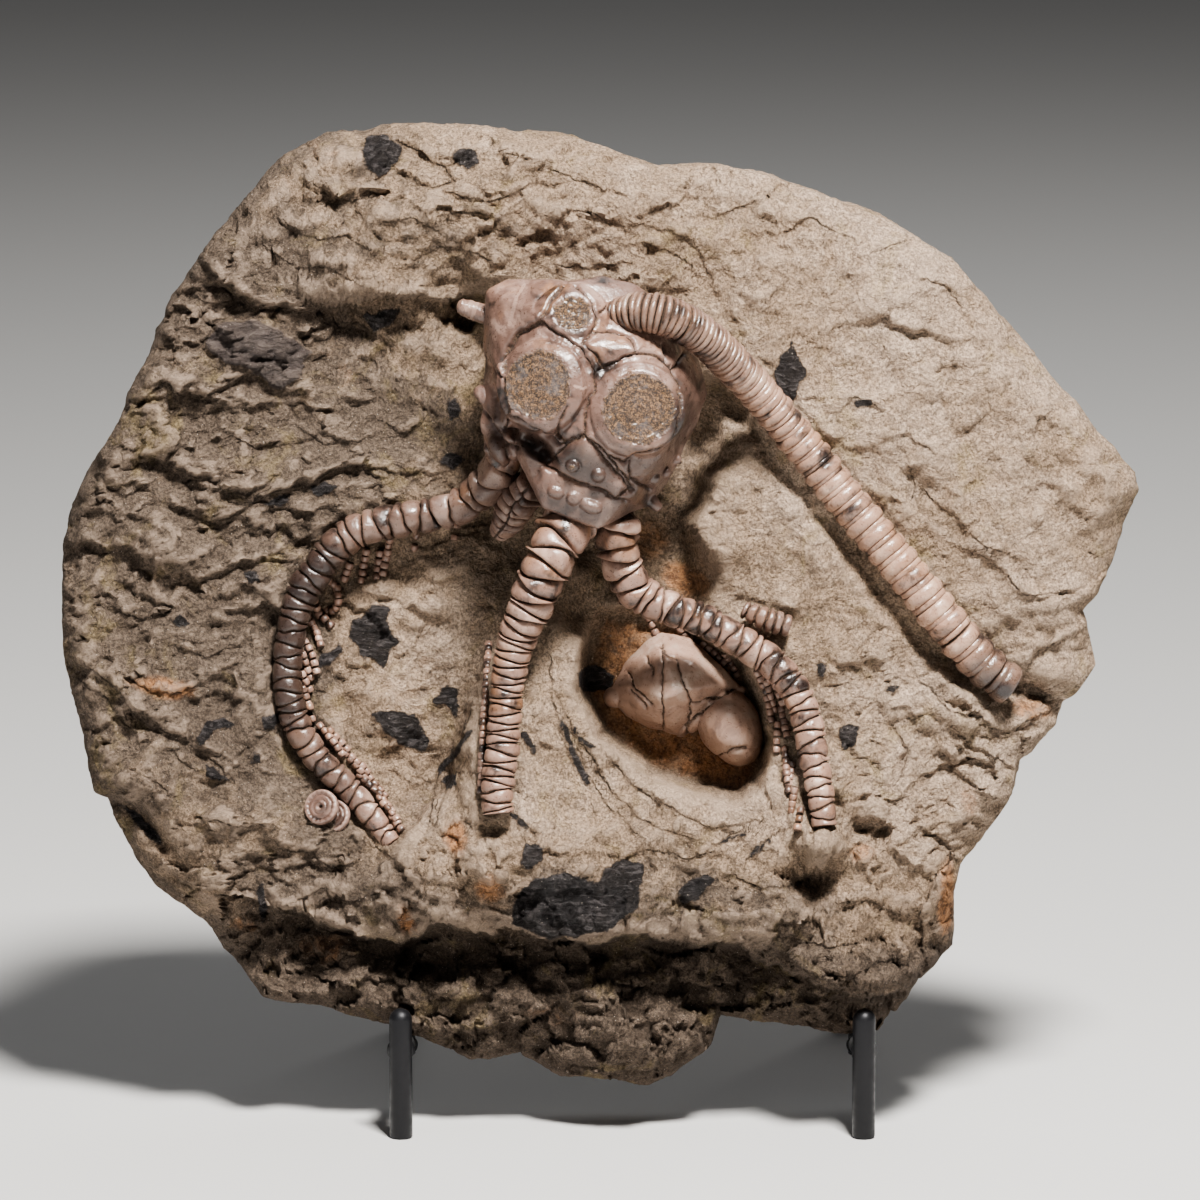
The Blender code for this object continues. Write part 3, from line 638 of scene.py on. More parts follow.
@dataclass(frozen=True)
class Siltstone:
    """The slab's matte tan stone, with slate flakes, a grey clast and rust stains, painted shade in its
    hollows, cracks and broken face, and painted light on its crests.
    """

    tan: Triple = (0.345, 0.250, 0.175)
    pale: Triple = (0.500, 0.382, 0.292)
    grey: Triple = (0.150, 0.113, 0.086)
    olive: Triple = (0.270, 0.205, 0.100)
    # Painted shade, mixed into hollows, over the broken face and along cracks.
    painted_shade: Triple = (0.034, 0.023, 0.016)
    slate: Triple = (0.018, 0.016, 0.017)
    slate_light: Triple = (0.105, 0.094, 0.095)
    clast: Triple = (0.070, 0.056, 0.054)
    clast_light: Triple = (0.190, 0.155, 0.140)
    rust: Triple = (0.540, 0.270, 0.125)
    rust_dark: Triple = (0.160, 0.078, 0.044)
    glint: Triple = (0.800, 0.700, 0.600)

    def make(self) -> bpy.types.Material:
        """Makes the material.

        Returns:
            The stone, for a mesh that holds slate, clast, crack, rust, hollow and tone.
        """
        s = Surface("siltstone")
        grain = s.noise(0.60, 3, 0.85, warp=0.3)
        fine = s.noise(1.6, 6, 0.74, warp=0.4)
        patch = s.noise(4.6, 5, 0.68, warp=0.8)
        speckle = s.grey(s.spread(grain, 0.38, 0.62, 0.56, 1.30))
        colour = s.mix(1.0, self.ground(s, fine, patch), speckle, "MULTIPLY")
        rust = s.mix(s.spread(fine + grain * 0.5, 0.60, 0.90), self.rust_dark, self.rust)
        colour = s.mix(s.spread(s.stored("rust") + (patch - 0.5) * 1.3, 0.22, 0.95, 0.0, 0.85), colour, rust)
        # Painted shade in concave places and over the broken face, from the stored hollow value.
        hollow = s.stored("hollow") + (fine - 0.5) * 0.9
        colour = s.mix(s.spread(hollow, 0.18, 0.95, 0.0, 0.50), colour, self.painted_shade)
        # Painted light: the pale colour on convex crests, where the stored hollow value is below 0.
        colour = s.mix(s.spread(hollow, -0.10, -0.7, 0.0, 0.5), colour, self.pale)
        # Painted shade along the cracks and small ledges.
        crack = s.stored("crack") + (fine - 0.5) * 1.6
        dark = s.spread(s.maths("ABSOLUTE", crack), 0.34, 0.05) * s.spread(patch, 0.46, 0.58)
        colour = s.mix(dark * 0.75, colour, self.painted_shade)
        ragged = (s.noise(1.6, 5, 0.75) - 0.5) * 2.0
        foliated = s.noise(2.2, 5, 0.72, (0.5, 1.0, 1.6), 1.4)
        block = s.spread(s.stored("clast") + ragged, -0.2, 0.3)
        lump = s.mix(s.spread(foliated + patch * 0.4, 0.56, 0.86), self.clast, self.clast_light)
        colour = s.mix(block * 0.85, colour, lump)
        flake = s.spread(s.stored("slate") + ragged, -0.20, 0.25)
        sheet = s.mix(s.spread(foliated, 0.46, 0.62), self.slate, self.slate_light)
        colour = s.mix(flake * 0.95, colour, sheet)
        colour = s.mix(s.spread(s.cells(1.2), 0.12, 0.05) * 0.45, colour, self.glint)
        covered = s.maths("ADD", flake, block, True)
        roughness = s.spread(fine, 0.3, 0.7, 0.98, 0.84) - covered * 0.38
        relief = s.bump(fine, 0.8, s.bump(grain, 0.75))
        relief = s.bump(s.spread(patch, 0.40, 0.60), 0.35, relief)
        relief = s.bump(s.spread(crack, -0.3, 0.3) - dark, 0.4, relief)
        relief = s.bump(covered * s.spread(foliated, 0.35, 0.7), 0.8, relief)
        return s.finish(colour, roughness, Normal=relief, Specular_IOR_Level=0.26)

    def ground(self, s: Surface, fine: Value, patch: Value) -> Value:
        """The stone's colour before anything lies on it.

        Args:
            s: the surface being made.
            fine: its fine noise.
            patch: its patchy noise.

        Returns:
            The colour.
        """
        # The stored tone carries painted shade on the left, the broken face and the low front, and painted
        # light on shaded low ground.
        tone = s.noise(17, 4, 0.65, warp=0.6) * 0.35 + patch * 0.30 + fine * 0.26 + s.stored("tone") + 0.045
        colour = s.mix(s.spread(tone, 0.36, 0.50), self.grey, self.tan)
        colour = s.mix(s.spread(tone, 0.48, 0.68), colour, self.pale)
        laminae = s.noise(2.4, 5, 0.70, (0.28, 1.5, 1.1), 1.3)
        colour = s.mix(s.spread(laminae, 0.56, 0.72, 0.0, 0.45), colour, self.grey)
        return s.mix(s.spread(s.noise(11, 4, 0.65, warp=0.8), 0.54, 0.70, 0.0, 0.5), colour, self.olive)


@dataclass(frozen=True)
class Calcite:
    """The fossil's satin calcite, brown in its seams and granular on its facets."""

    name: str
    base: Triple
    light: Triple
    dark: Triple
    stain: Triple = (0.330, 0.170, 0.090)
    seam: Triple = (0.034, 0.017, 0.011)
    crumb: Triple = (0.200, 0.115, 0.062)
    pore_light: Triple = (0.300, 0.168, 0.076)
    pore_dark: Triple = (0.022, 0.013, 0.009)
    pore_grey: Triple = (0.120, 0.108, 0.110)
    roughness: float = 0.33

    def make(self) -> bpy.types.Material:
        """Makes the material.

        Returns:
            The calcite, for a mesh that holds seam, pore, grime and tone.
        """
        s = Surface(self.name)
        fine = s.noise(0.8, 4, 0.7)
        grains = s.noise(0.36, 3, 0.8)
        seam = s.spread(s.stored("seam") + (fine - 0.5) * 0.9, 0.70, 0.88)
        filling = s.mix(s.spread(grains, 0.45, 0.62), self.seam, self.crumb)
        colour = s.mix(seam * 0.90, self.ground(s, fine), filling)
        facet = s.stored("pore") + (s.noise(1.2, 3) - 0.5) * 2.4
        pore = s.spread(facet, 0.0, 0.7)
        rings = s.maths("SINE", facet * 4.2)
        granular = s.mix(s.spread(grains + rings * 0.035, 0.42, 0.66), self.pore_dark, self.pore_light)
        blots = s.noise(3.2, 5, 0.7, warp=0.5)
        granular = s.mix(s.spread(blots, 0.50, 0.64, 0.0, 0.6), granular, self.pore_grey)
        granular = s.mix(s.spread(blots, 0.46, 0.34, 0.0, 0.6), granular, self.pore_dark)
        colour = s.mix(pore * 0.9, colour, granular)
        rough = s.maths("ADD", pore, seam, True)
        polish = s.spread(fine, 0.3, 0.7, -0.08, 0.12) + self.roughness
        relief = s.bump(s.noise(2.4, 4, 0.6), 0.30, s.bump(s.noise(0.30, 2, 0.6), 0.03))
        relief = s.bump(seam, -0.35, s.bump(rough * grains, 0.5, relief))
        gloss = {"Specular_IOR_Level": 0.75, "Coat_Weight": 0.12, "Coat_Roughness": 0.14, "Coat_IOR": 1.5}
        return s.finish(colour, s.maths("ADD", polish, rough * 0.45, True), Normal=relief, **gloss)

    def ground(self, s: Surface, fine: Value) -> Value:
        """The calcite's colour between its seams.

        Args:
            s: the surface being made.
            fine: its fine noise.

        Returns:
            The colour.
        """
        tone = s.noise(5, 4, 0.6, warp=0.5) + s.stored("tone") * 0.35
        colour = s.mix(s.spread(tone, 0.26, 0.50), self.dark, self.base)
        colour = s.mix(s.spread(tone, 0.52, 0.76), colour, self.light)
        colour = s.mix(s.spread(s.noise(8, 4, 0.6), 0.52, 0.72, 0.0, 0.55), colour, self.stain)
        colour = s.mix(s.spread(fine, 0.46, 0.22, 0.0, 0.6), colour, self.dark)
        # The stored share darkens the calcite: painted shade towards the stone and in recesses, and the
        # calcite's own darker places.
        return s.mix(s.maths("MULTIPLY", s.stored("grime"), 0.90, True), colour, self.dark)


@dataclass(frozen=True)
class BlackSteel:
    """The stand's black painted rod, worn a little along its length."""

    paint: Triple = (0.013, 0.013, 0.015)
    worn: Triple = (0.060, 0.056, 0.053)

    def make(self) -> bpy.types.Material:
        """Makes the material.

        Returns:
            The painted steel.
        """
        s = Surface("black_steel")
        wear = s.spread(s.noise(3.5, 5, 0.7, (1, 1, 0.35)), 0.62, 0.78)
        roughness = s.spread(s.noise(1.4, 3), 0.3, 0.7, 0.34, 0.52)
        relief = s.bump(s.noise(0.5, 2, 0.6), 0.02)
        colour = s.mix(wear * 0.7, self.paint, self.worn)
        return s.finish(colour, roughness, Normal=relief, Metallic=0.35, Specular_IOR_Level=0.5)


@dataclass(frozen=True)
class PaleFloor:
    """The studio's plain floor."""

    colour: Triple = (0.56, 0.555, 0.545)

    def make(self) -> bpy.types.Material:
        """The material."""
        return Surface("studio_floor").finish(self.colour, 0.7)


# ---- The slab ----

# The slab's outline as (u, v) corners, clockwise from the top left
OUTLINE: Places = [
    (-55, 94.2), (-47, 94), (-41.5, 95.6), (-17, 94), (-4, 92.6), (5, 89.6), (11.5, 87.4), (24, 87.4),
    (32, 85.6),
    (49, 79.6), (59, 75.4), (70.5, 68.4), (80, 57.4), (85, 52), (90, 45.4), (100, 34), (107.5, 25.6),
    (108.2, 22),
    (105, 15), (103.5, 9), (99.5, 1.6), (96.4, -2), (99, -8), (100.2, -13), (96, -19), (93.2, -20.6),
    (92, -25),
    (84, -32), (82, -41), (76, -49), (72.4, -53), (71, -58), (71.2, -69.6), (64, -76), (60, -82), (56, -87.6),
    (50, -87.8), (42, -86.4), (30, -84.6), (24.4, -83.6), (22.4, -90), (14, -95.6), (9, -97.2), (-2, -96),
    (-8, -95.6), (-16, -90.6), (-26, -92.4), (-36, -88.4), (-42, -86), (-56, -82), (-67.6, -79.6), (-75, -71),
    (-79, -65), (-88, -59), (-98, -44), (-99.4, -40), (-102, -38.6), (-104, -27), (-108, -13), (-108.8, 4),
    (-106, 19), (-97, 36), (-90, 51), (-80, 70), (-70, 82), (-62, 90),
]

# The face's named landforms: each place is (u, v, reach, height over the back)
LANDFORMS: dict[str, Places] = {
    "top rim": [
        (-54, 89, 9, 22), (-34, 91, 9, 24), (-8, 88, 9, 26), (20, 83, 10, 26), (46, 75, 10, 27),
        (66, 66, 10, 26), (84, 46, 10, 25), (100, 28, 9, 24), (101, 12, 7, 23),
    ],
    "crest over the cup": [
        (-60, 76, 8, 27), (-44, 77, 8, 29), (-26, 79, 8, 30), (-8, 79, 8, 30), (10, 77, 8, 30),
        (28, 70, 9, 31),
    ],
    "slope down to the cup": [
        (-36, 67, 5.6, 26), (-20, 70, 5.6, 26), (-12, 65.6, 4.4, 22), (4, 67, 5, 24), (18, 63, 5, 27),
        (-28, 62, 3.4, 15),
    ],
    "hollow beside the cup": [
        (-26, 53, 4.4, 13), (-32, 44, 6, 18), (-40, 50, 6, 20), (-48, 40, 7, 21), (-34, 32, 6, 18),
        (-26, 34, 3.6, 14), (-54, 51, 5, 21), (-20, 11, 3.2, 13),
    ],
    "upper left flank": [
        (-72, 70, 7, 24), (-77, 60, 6, 22), (-69, 51, 6, 24), (-86, 44, 6, 20), (-80, 32, 8, 23),
        (-64, 32, 8, 23),
        (-94, 26, 6, 21), (-84, 16, 7, 24), (-68, 14, 6, 22), (-50, 22, 5, 21), (-34, 24, 4.4, 19),
    ],
    "left flank": [
        (-102, 8, 5, 18), (-105, -8, 4.4, 17), (-92, -4, 7, 21), (-76, -4, 7, 22), (-88, -18, 6, 22),
        (-72, -20, 7, 21), (-100, -28, 5, 20), (-84, -34, 7, 23), (-68, -38, 7, 22), (-92, -46, 3.6, 17),
        (-80, -50, 7, 22), (-64, -54, 7, 23), (-88, -56, 4.4, 16), (-74, -66, 6, 21), (-64, -74, 6, 19),
    ],
    "floor inside the left arm": [
        (-50, 0, 6, 17), (-36, 6, 7, 18), (-25, 10, 5, 15), (-46, -12, 7, 16.5), (-30, -4, 5, 18),
        (-40, -24, 7, 16.5), (-32, -16, 5, 18), (-44, -34, 6, 16.5), (-36, -38, 4.4, 17), (-50, -48, 5, 21),
        (-56, -32, 4, 19),
    ],
    "buttress under the centre arm": [
        (-8, 2, 3.4, 20), (-12, -8, 3.8, 28), (-18, -16, 3.8, 33), (-20, -28, 4.2, 34.4),
        (-20.5, -40, 4.6, 35),
        (-9, -20, 3.8, 30), (-8, -34, 5, 31), (-31, -45, 3.2, 28), (2, -40, 4.4, 29),
    ],
    "front mass": [
        (-24, -52, 5.6, 36), (-36, -56, 5, 33), (-50, -58, 5.6, 28), (-12, -52, 5.6, 36), (0, -58, 7, 37),
        (8, -46, 6, 32), (20, -46, 6, 31), (20, -58, 7, 35), (36, -60, 7, 35), (50, -66, 7, 34),
        (46, -75, 5, 31),
        (-8, -63, 4.4, 34), (-28, -62, 4.4, 32), (60, -72, 4.4, 29),
    ],
    "broken lower face": [
        (-54, -72, 5.6, 22), (-40, -77, 5.6, 21), (-26, -76, 5.6, 23), (-30, -87, 5, 17), (-12, -78, 5.6, 24),
        (-12, -88, 5, 19), (2, -74, 5.6, 27), (4, -86, 5.6, 23), (12, -92, 5, 20), (18, -76, 5, 25),
        (20, -84, 4.4, 20), (32, -78, 4.4, 18), (40, -81, 4, 16), (-60, -80, 3.6, 17), (53, -86, 4.4, 13),
        (46, -84.6, 3.6, 15), (60, -82, 2.8, 16),
    ],
    "channel under the right arm": [
        (1, 8, 2.8, 12), (12, 11, 3.2, 13), (16, 4, 3, 15), (-2, 0, 2.8, 16), (20, 32, 2.8, 13),
        (17, 22, 2.4, 13),
    ],
    "swelling beside the column": [
        (32, 26, 6, 30), (27, 16, 4.4, 28), (38, 10, 6, 30), (50, 0, 7, 29), (24, 35, 3.2, 20),
        (29, 3, 3.6, 24),
        (36, 0, 3.6, 27),
    ],
    "right plain": [
        (40, 54, 9, 31), (56, 40, 9, 30), (60, 60, 8, 30), (76, 40, 9, 28), (70, 22, 7, 28), (88, 20, 8, 28),
        (94, 6, 6, 25), (80, 0, 6, 25), (86, -10, 4, 22), (95, -11, 4, 21), (84, -23, 4, 20),
    ],
    "lower right flank": [
        (52, -12, 7, 29), (66, -18, 7, 28), (56, -28, 7, 29), (72, -32, 6, 25), (48, -40, 4, 31),
        (60, -44, 6, 29),
        (72, -46, 5, 24), (44, -50, 3.2, 34), (38, -40, 2.8, 31), (36, -48, 4, 31), (54, -54, 4.4, 31),
        (52, -47, 2.4, 24), (44, -54.6, 2.8, 26), (66, -58, 5, 30), (69, -66, 3, 22), (32, -20, 2.8, 23),
        (36, -30, 3.2, 27),
    ],
}

# Ledges, with the ground to the left of each line, going along it, higher: (name, rise, reach, line)
LEDGES: list[tuple[str, float, float, Places]] = [
    ("brow over the left hollow", 3.6, 8, [(-74, 63), (-70, 60), (-64, 59), (-48, 58.6), (-40, 60),
                                           (-30, 61)]),
    ("left crack", 2.0, 7, [(-106, 11.6), (-100, 11), (-94, 9.4), (-83, 3.4), (-72, 6.4)]),
    ("upper left crack", 1.6, 5, [(-90, 40), (-85, 41.6), (-79, 40)]),
    ("ledge above the left arm", 1.8, 6, [(-73, 22), (-66, 21), (-60, 24), (-51, 27), (-43, 26)]),
    ("left shelf", 1.8, 7, [(-108, -11), (-104, -14), (-98, -19), (-92, -23), (-84, -27), (-79, -30.4)]),
    ("brow over the broken face", 11.0, 11, [
        (-66, -62), (-52, -67), (-44, -69), (-38, -68), (-32, -65), (-24, -66), (-8, -68.4), (8, -67.6),
        (18, -69.6), (28, -69), (36, -73), (44, -78), (50, -80.5), (60, -80),
    ]),
    ("west wall of the buttress", 5.0, 5, [(-11, 4), (-17, -6), (-25, -18), (-28, -28), (-30, -38),
                                           (-37, -45)]),
    ("right brow", 1.5, 5, [(51, 55), (56, 56.4), (61, 54.4), (68, 53)]),
    ("right step", 2.0, 7, [(100, 3.6), (95, 1), (88, 0.6), (83, 4), (80, 9.6), (73, 13), (66, 17),
                            (58, 22)]),
    ("corner crack", 1.6, 4, [(97, -2.4), (95, -4.4), (90, -8), (85.6, -9.6)]),
]

# Troughs: (name, depth, half width, line)
TROUGHS: list[tuple[str, float, float, Places]] = [
    ("beside the cup", 1.8, 3.6, [(18, 42), (20.6, 34), (18.6, 25), (16, 16)]),
    ("along the column", 2.6, 1.9, [(24, 42), (34, 29.4), (45, 15.6), (56, 2), (66, -10), (78, -19)]),
    ("south-west groove", 4.0, 1.4, [(-99, -40.8), (-95, -42), (-91, -45), (-87.6, -49.6)]),
    ("socket past the column", 4.5, 3.2, [(80, -16), (86, -19), (92, -20)]),
    ("under the left arm", 1.6, 2.6, [(-22, 16), (-38, 10), (-52, 4), (-58, -6), (-60, -18), (-56, -28)]),
]

# The pit round the second cup
PIT_OUTLINE: Places = [
    (0, -2), (-3, -10), (-4.4, -18), (0, -27), (10, -35), (20, -38.4), (28, -40), (32.4, -37), (34, -28),
    (32.4, -20), (29, -13), (20, -6), (8, -3),
]

# Thin cracks and small ledges, each with the ground to its left higher: (rise, line)
CREASES: list[tuple[float, Places]] = [
    # top crest
    (0.9, [(-29.6, 81.2), (-22.2, 79.4), (-19.4, 80.2), (-13.6, 83.4), (-9.4, 83.4)]),
    (0.8, [(-31.4, 77), (-28.6, 77.8), (-26.4, 77.6), (-23.8, 77)]),
    (0.8, [(-35, 69.2), (-32.2, 70.6), (-28.6, 70.2), (-25, 69.8), (-22.8, 68.4)]),
    (1.0, [(-40, 92), (-36.4, 90.4), (-34.2, 88), (-31.4, 86.8), (-30, 84.8)]),
    (1.1, [(-39.2, 85.4), (-36.4, 83.4), (-32.2, 82.6), (-30, 83.4)]),
    (0.7, [(-19.4, 89.4), (-15.8, 89), (-18, 86.8), (-20.8, 86.2)]),
    (0.7, [(-9.4, 86.2), (-5, 84.4), (-0.2, 82.6)]),
    (0.6, [(-4.4, 77.6), (-0.2, 77), (3.4, 75.2)]),
    (0.5, [(-8, 67), (-3.6, 66.6), (4, 67.4)]),
    (0.6, [(8, 75.2), (12.2, 74.4), (17.2, 72.4), (20.8, 68), (22.2, 64.6)]),
    (0.5, [(10.2, 71), (14.4, 69.6), (18, 66.6)]),
    (0.5, [(-44, 75), (-37, 76.4), (-33, 74)]), (0.7, [(-57, 83), (-52, 80), (-47, 80.6)]),
    (0.6, [(-62, 75), (-57, 72), (-51, 73), (-47, 70.4)]), (0.7, [(-66, 70), (-61, 66.4), (-55, 66.8),
                                                                  (-50, 64)]),
    # upper right and right plain
    (0.7, [(38.6, 74.8), (42.2, 76.6), (46.4, 74.4)]), (0.5, [(26.4, 78), (29.4, 79.2)]),
    (0.6, [(57, 70.2), (60, 71.2)]), (0.7, [(66.4, 63.8), (69.8, 62.4), (71.2, 60.2)]),
    (0.7, [(49.4, 39.2), (51.4, 40.6), (54.2, 39.2)]), (0.6, [(63.2, 31.8), (65.4, 30.6)]),
    (0.7, [(62.2, 25.4), (63.2, 22.6), (62.6, 21)]), (0.5, [(88.2, 36), (89.4, 37)]),
    (0.4, [(73.8, 33.8), (76, 35.8)]), (0.8, [(65.4, 21.6), (68, 19), (71.8, 15.8), (73.8, 13), (77, 10.4),
                                              (80.2, 9.4)]),
    (0.9, [(73.8, 9.8), (78.2, 7.8), (81.4, 4.6), (84.6, 1.4), (87.8, 1), (92, 1.6)]),
    # upper left flank
    (1.6, [(-72, 44.6), (-76.8, 42), (-79.2, 40.4), (-84.6, 41.6), (-88.2, 43.8), (-91.8, 40.2)][::-1]),
    (0.9, [(-102.4, 21.2), (-99.6, 22.4), (-96, 20.6), (-92.4, 22.4)]),
    (1.5, [(-82.2, 17), (-78, 15.2), (-74.4, 16.4), (-68.4, 20.6), (-62.4, 22.4), (-57.6, 23.6), (-54, 26)]),
    (0.8, [(-75.6, 21.8), (-70.8, 20.6), (-66, 24)]), (0.8, [(-88, 27), (-83, 24), (-79, 25)]),
    (0.9, [(-58.4, 51.4), (-54.8, 52.8), (-52.8, 55), (-49.2, 55.6), (-46.4, 54.2)]),
    (0.7, [(-82, 61), (-77, 59.4), (-73, 60.4)]), (0.6, [(-60, 34), (-55, 31), (-50, 32)]),
    (0.7, [(-74, 33), (-69, 30.4), (-64, 31.4)]), (0.6, [(-44, 36), (-39, 33), (-36, 36)]),
    # left flank
    (0.9, [(-102.4, -14), (-98.8, -17), (-94.6, -21.2), (-91.6, -24.8), (-86.8, -26.6), (-82.6, -28.6),
           (-76, -34.4)]),
    (0.7, [(-106, -15.8), (-102.4, -18.2), (-98.8, -20.6), (-95.2, -25.4)]),
    (0.8, [(-76.6, -44.6), (-73.6, -45.8), (-71.2, -45.8), (-68.8, -45.4)]),
    (0.6, [(-85.6, -30.8), (-84.4, -32.6), (-82.6, -33.4)]), (0.6, [(-91, -35.6), (-87.4, -38)]),
    (0.8, [(-98, -2), (-92, -4), (-88, -2.6)]), (0.6, [(-84, -10), (-79, -12), (-76, -10.6)]),
    (0.9, [(-95, -15.6), (-90, -18.4), (-84, -18.6), (-81, -16.8)]), (0.7, [(-70, 2), (-66, -1), (-64, -5)]),
    # round the pit and down the buttress
    (0.5, [(-3, -29.4), (-0.4, -33), (0.8, -36.2), (4, -40), (7.6, -43), (12, -45.6), (18.8, -48)]),
    (0.6, [(2.6, -32.4), (5.2, -35.6), (8.8, -38.6), (13.2, -41.2), (18.8, -44.2), (22.6, -45.6),
           (31.2, -44.2)]),
    (0.4, [(-7, -22), (-4.6, -29), (-2, -35.4), (2, -41.6), (7, -46.4)]),
    (0.4, [(-10, -12), (-9.4, -20), (-7.6, -28), (-5.6, -33)]), (0.5, [(23.8, -48.4), (26.4, -46.8),
                                                                       (28.8, -46.2)]),
    (0.6, [(30.4, -50.4), (32, -48.6), (33.8, -47.4)]), (0.4, [(-30, -30), (-33, -36), (-34, -44)]),
    (0.4, [(-26, -22), (-29, -30), (-31, -38), (-33, -46)]), (0.5, [(10, -50), (17, -51.6), (24, -50.4)]),
    # lower right
    (0.9, [(78, -21.2), (74.2, -23.4), (70.6, -22.6), (66.2, -17.6), (61.8, -15.4), (57.4, -15)]),
    (1.4, [(91.8, -22), (86.8, -24.2), (82.4, -26.4), (78.6, -25.6), (75, -22.6)][::-1]),
    (1.2, [(72, -27), (75.8, -30), (78.6, -31.4), (81.6, -33)]), (1.0, [(69, -31), (73, -36), (77, -38.6)]),
    (1.4, [(67.6, -47.6), (69.8, -49), (70.2, -52), (67.6, -55), (65.4, -59.4), (64, -63.8), (64.8, -68.8),
           (65.4, -72.6)]),
    (1.0, [(45, -74.8), (50, -75.4), (54.4, -73.2), (58.8, -71.8)]), (0.7, [(59, -26), (62, -31), (60, -35)]),
    (0.7, [(48, -61), (53, -60), (57, -62)]), (0.6, [(28, -56), (33, -58), (38, -57)]),
    (1.2, [(86, -13.2), (88.2, -10.2), (91.2, -8.8)]), (0.7, [(40, -68), (46, -69.6), (52, -68.4)]),
    # front, by the brow
    (0.8, [(-64, -50), (-58, -51), (-54, -54), (-50, -53)]), (0.9, [(-45, -50), (-41, -52), (-38, -56)]),
    (0.8, [(-60, -60), (-55, -58), (-50, -61), (-45, -59)]), (0.6, [(-68, -58), (-65, -63), (-60, -64)]),
]

# Slate flakes: closed outlines in (u, v)
SLATE: list[Places] = [
    [(-46.8, 93.4), (-42.8, 93.4), (-39.6, 91.2), (-40, 88.4), (-44.2, 84.8), (-46.8, 87.2), (-47.8, 89.8)],
    [(-29.2, 90.4), (-25, 90.4), (-23.6, 87.6), (-27.2, 86.2), (-29.2, 88.4)],
    [(-48.4, 57.4), (-45.6, 57.8), (-40, 58.4), (-41.4, 55.2), (-45.6, 54.2)],
    [(-57, -11.2), (-52.4, -9.4), (-51.8, -10.6), (-54.6, -13.4), (-57, -13.4)],
    [(-51.2, -7.2), (-50, -4.2), (-47.8, -3.6), (-46, -0.8), (-42.2, -1), (-43.2, -4), (-42, -6.6),
     (-40, -8.2),
     (-42.2, -10), (-43.8, -14), (-45.4, -12.4), (-48.4, -11.2), (-49, -8.8)],
    [(-45.8, -23), (-43.8, -22.2), (-37.4, -23.2), (-35.6, -25.6), (-34.4, -28.4), (-35.4, -31), (-39, -30),
     (-43.2, -26.2)],
    [(-33.8, -21), (-31.6, -17.6), (-28.6, -18), (-28.4, -21), (-28.6, -24.4), (-31, -21.6)],
    [(-17.4, -60), (-15.4, -57.4), (-12.6, -55.4), (-8, -54.6), (-5.8, -54.4), (-0.6, -56.6), (0.8, -53.4),
     (3.4, -52),
     (8.8, -52.6), (8.4, -57.4), (7.4, -62), (4.2, -64), (1.4, -66), (-5.8, -67.4), (-9.8, -68),
     (-13.4, -66.6),
     (-17.4, -64.6)],
    [(-14.6, -47.4), (-11.4, -49.4), (-11.4, -51.4), (-14.6, -54), (-15.6, -52)],
    [(15.4, -57.6), (21.4, -54.6), (23.4, -55.6), (20.8, -58.4), (18.8, -60), (16.2, -61)],
    [(38.6, 51.6), (41.2, 45.4), (38.8, 40), (35.8, 41.8), (34.8, 45.4), (36.4, 49.6)],
    [(-79.4, -33), (-76.4, -34.6), (-74.4, -36.8), (-76.6, -36.4), (-79.4, -35)],
    [(-79, -24), (-75.6, -23.4), (-73.4, -25), (-77.4, -26.2), (-79.4, -29.6), (-81, -28)],
    [(-98.4, -41), (-94, -42.4), (-89.6, -46.8), (-87.8, -50), (-90.6, -48.6), (-94.6, -43.8)],
    [(-4.6, -14), (-1.6, -12.6), (3, -15.2), (1.6, -18.4), (-3.4, -18.4)],
    [(-59.4, 22.6), (-55, 24), (-52.6, 22.4), (-57, 20.8)], [(-67.6, 19.6), (-64, 21.4), (-62, 19.8),
                                                             (-65, 18.4)],
    [(-71.4, 5.6), (-69.4, 6), (-68.4, 3.8), (-70.6, 3)], [(-31, 40.4), (-29, 41), (-28, 37.2), (-30, 36)],
    [(-32.4, 27.4), (-30, 29.8), (-27.2, 28.4), (-29.6, 25.8)], [(-86.6, -4), (-84, -3), (-82.6, -5.2),
                                                                 (-85, -5.8)],
    [(48, -24.8), (51.8, -25.6), (51.4, -29.2), (48.6, -30), (47.6, -27)], [(43.6, -12.4), (45.4, -13),
                                                                            (45.2, -15.4), (43.8, -15)],
    [(50.4, 39.6), (54, 40.2), (54.2, 38.6), (51.4, 38.4)], [(-32, -36), (-29, -34.6), (-28.4, -37.4),
                                                             (-30.6, -38.4)],
    [(-70.4, -30.6), (-68.6, -30.4), (-68.2, -32.8), (-70, -33)], [(-68, -23.4), (-65, -22.8),
                                                                   (-65.4, -25.6), (-67.4, -25.8)],
    [(57.4, -16.6), (59.6, -17), (59, -18.2), (57.4, -17.8)], [(-69.4, -59), (-67.6, -57), (-66.6, -61.6),
                                                               (-68.6, -66)],
]

# Thin slate streaks: (half width, line)
STREAKS: list[tuple[float, Places]] = [
    (0.7, [(-8, -24.4), (-6.6, -26.8), (-5.4, -30.6), (-3.6, -34.4), (-2.4, -36.4)]),
    (0.5, [(-4.8, -25.6), (-3.6, -28), (-1.6, -29.4)]), (0.6, [(-15.4, -26.8), (-13, -30.2)]),
    (0.6, [(-26.4, -26.4), (-29.2, -30.2), (-32.2, -34.8)]), (0.4, [(23.8, -48.8), (28.8, -46.6)]),
    (0.4, [(30.4, -50.8), (33.8, -47.8)]), (0.5, [(-17.4, -42.4), (-14.8, -45.4)]), (0.3, [(-22, 31),
                                                                                           (-20, 34)]),
]

# The big raised grey clast in the upper left
CLAST: Places = [
    (-79.2, 52.4), (-76.2, 55.8), (-69.6, 56), (-66, 54.8), (-58.2, 50), (-60.6, 44.6), (-64, 42),
    (-66.6, 43.2),
    (-69.6, 45.8), (-73.2, 47), (-78, 49.4),
]

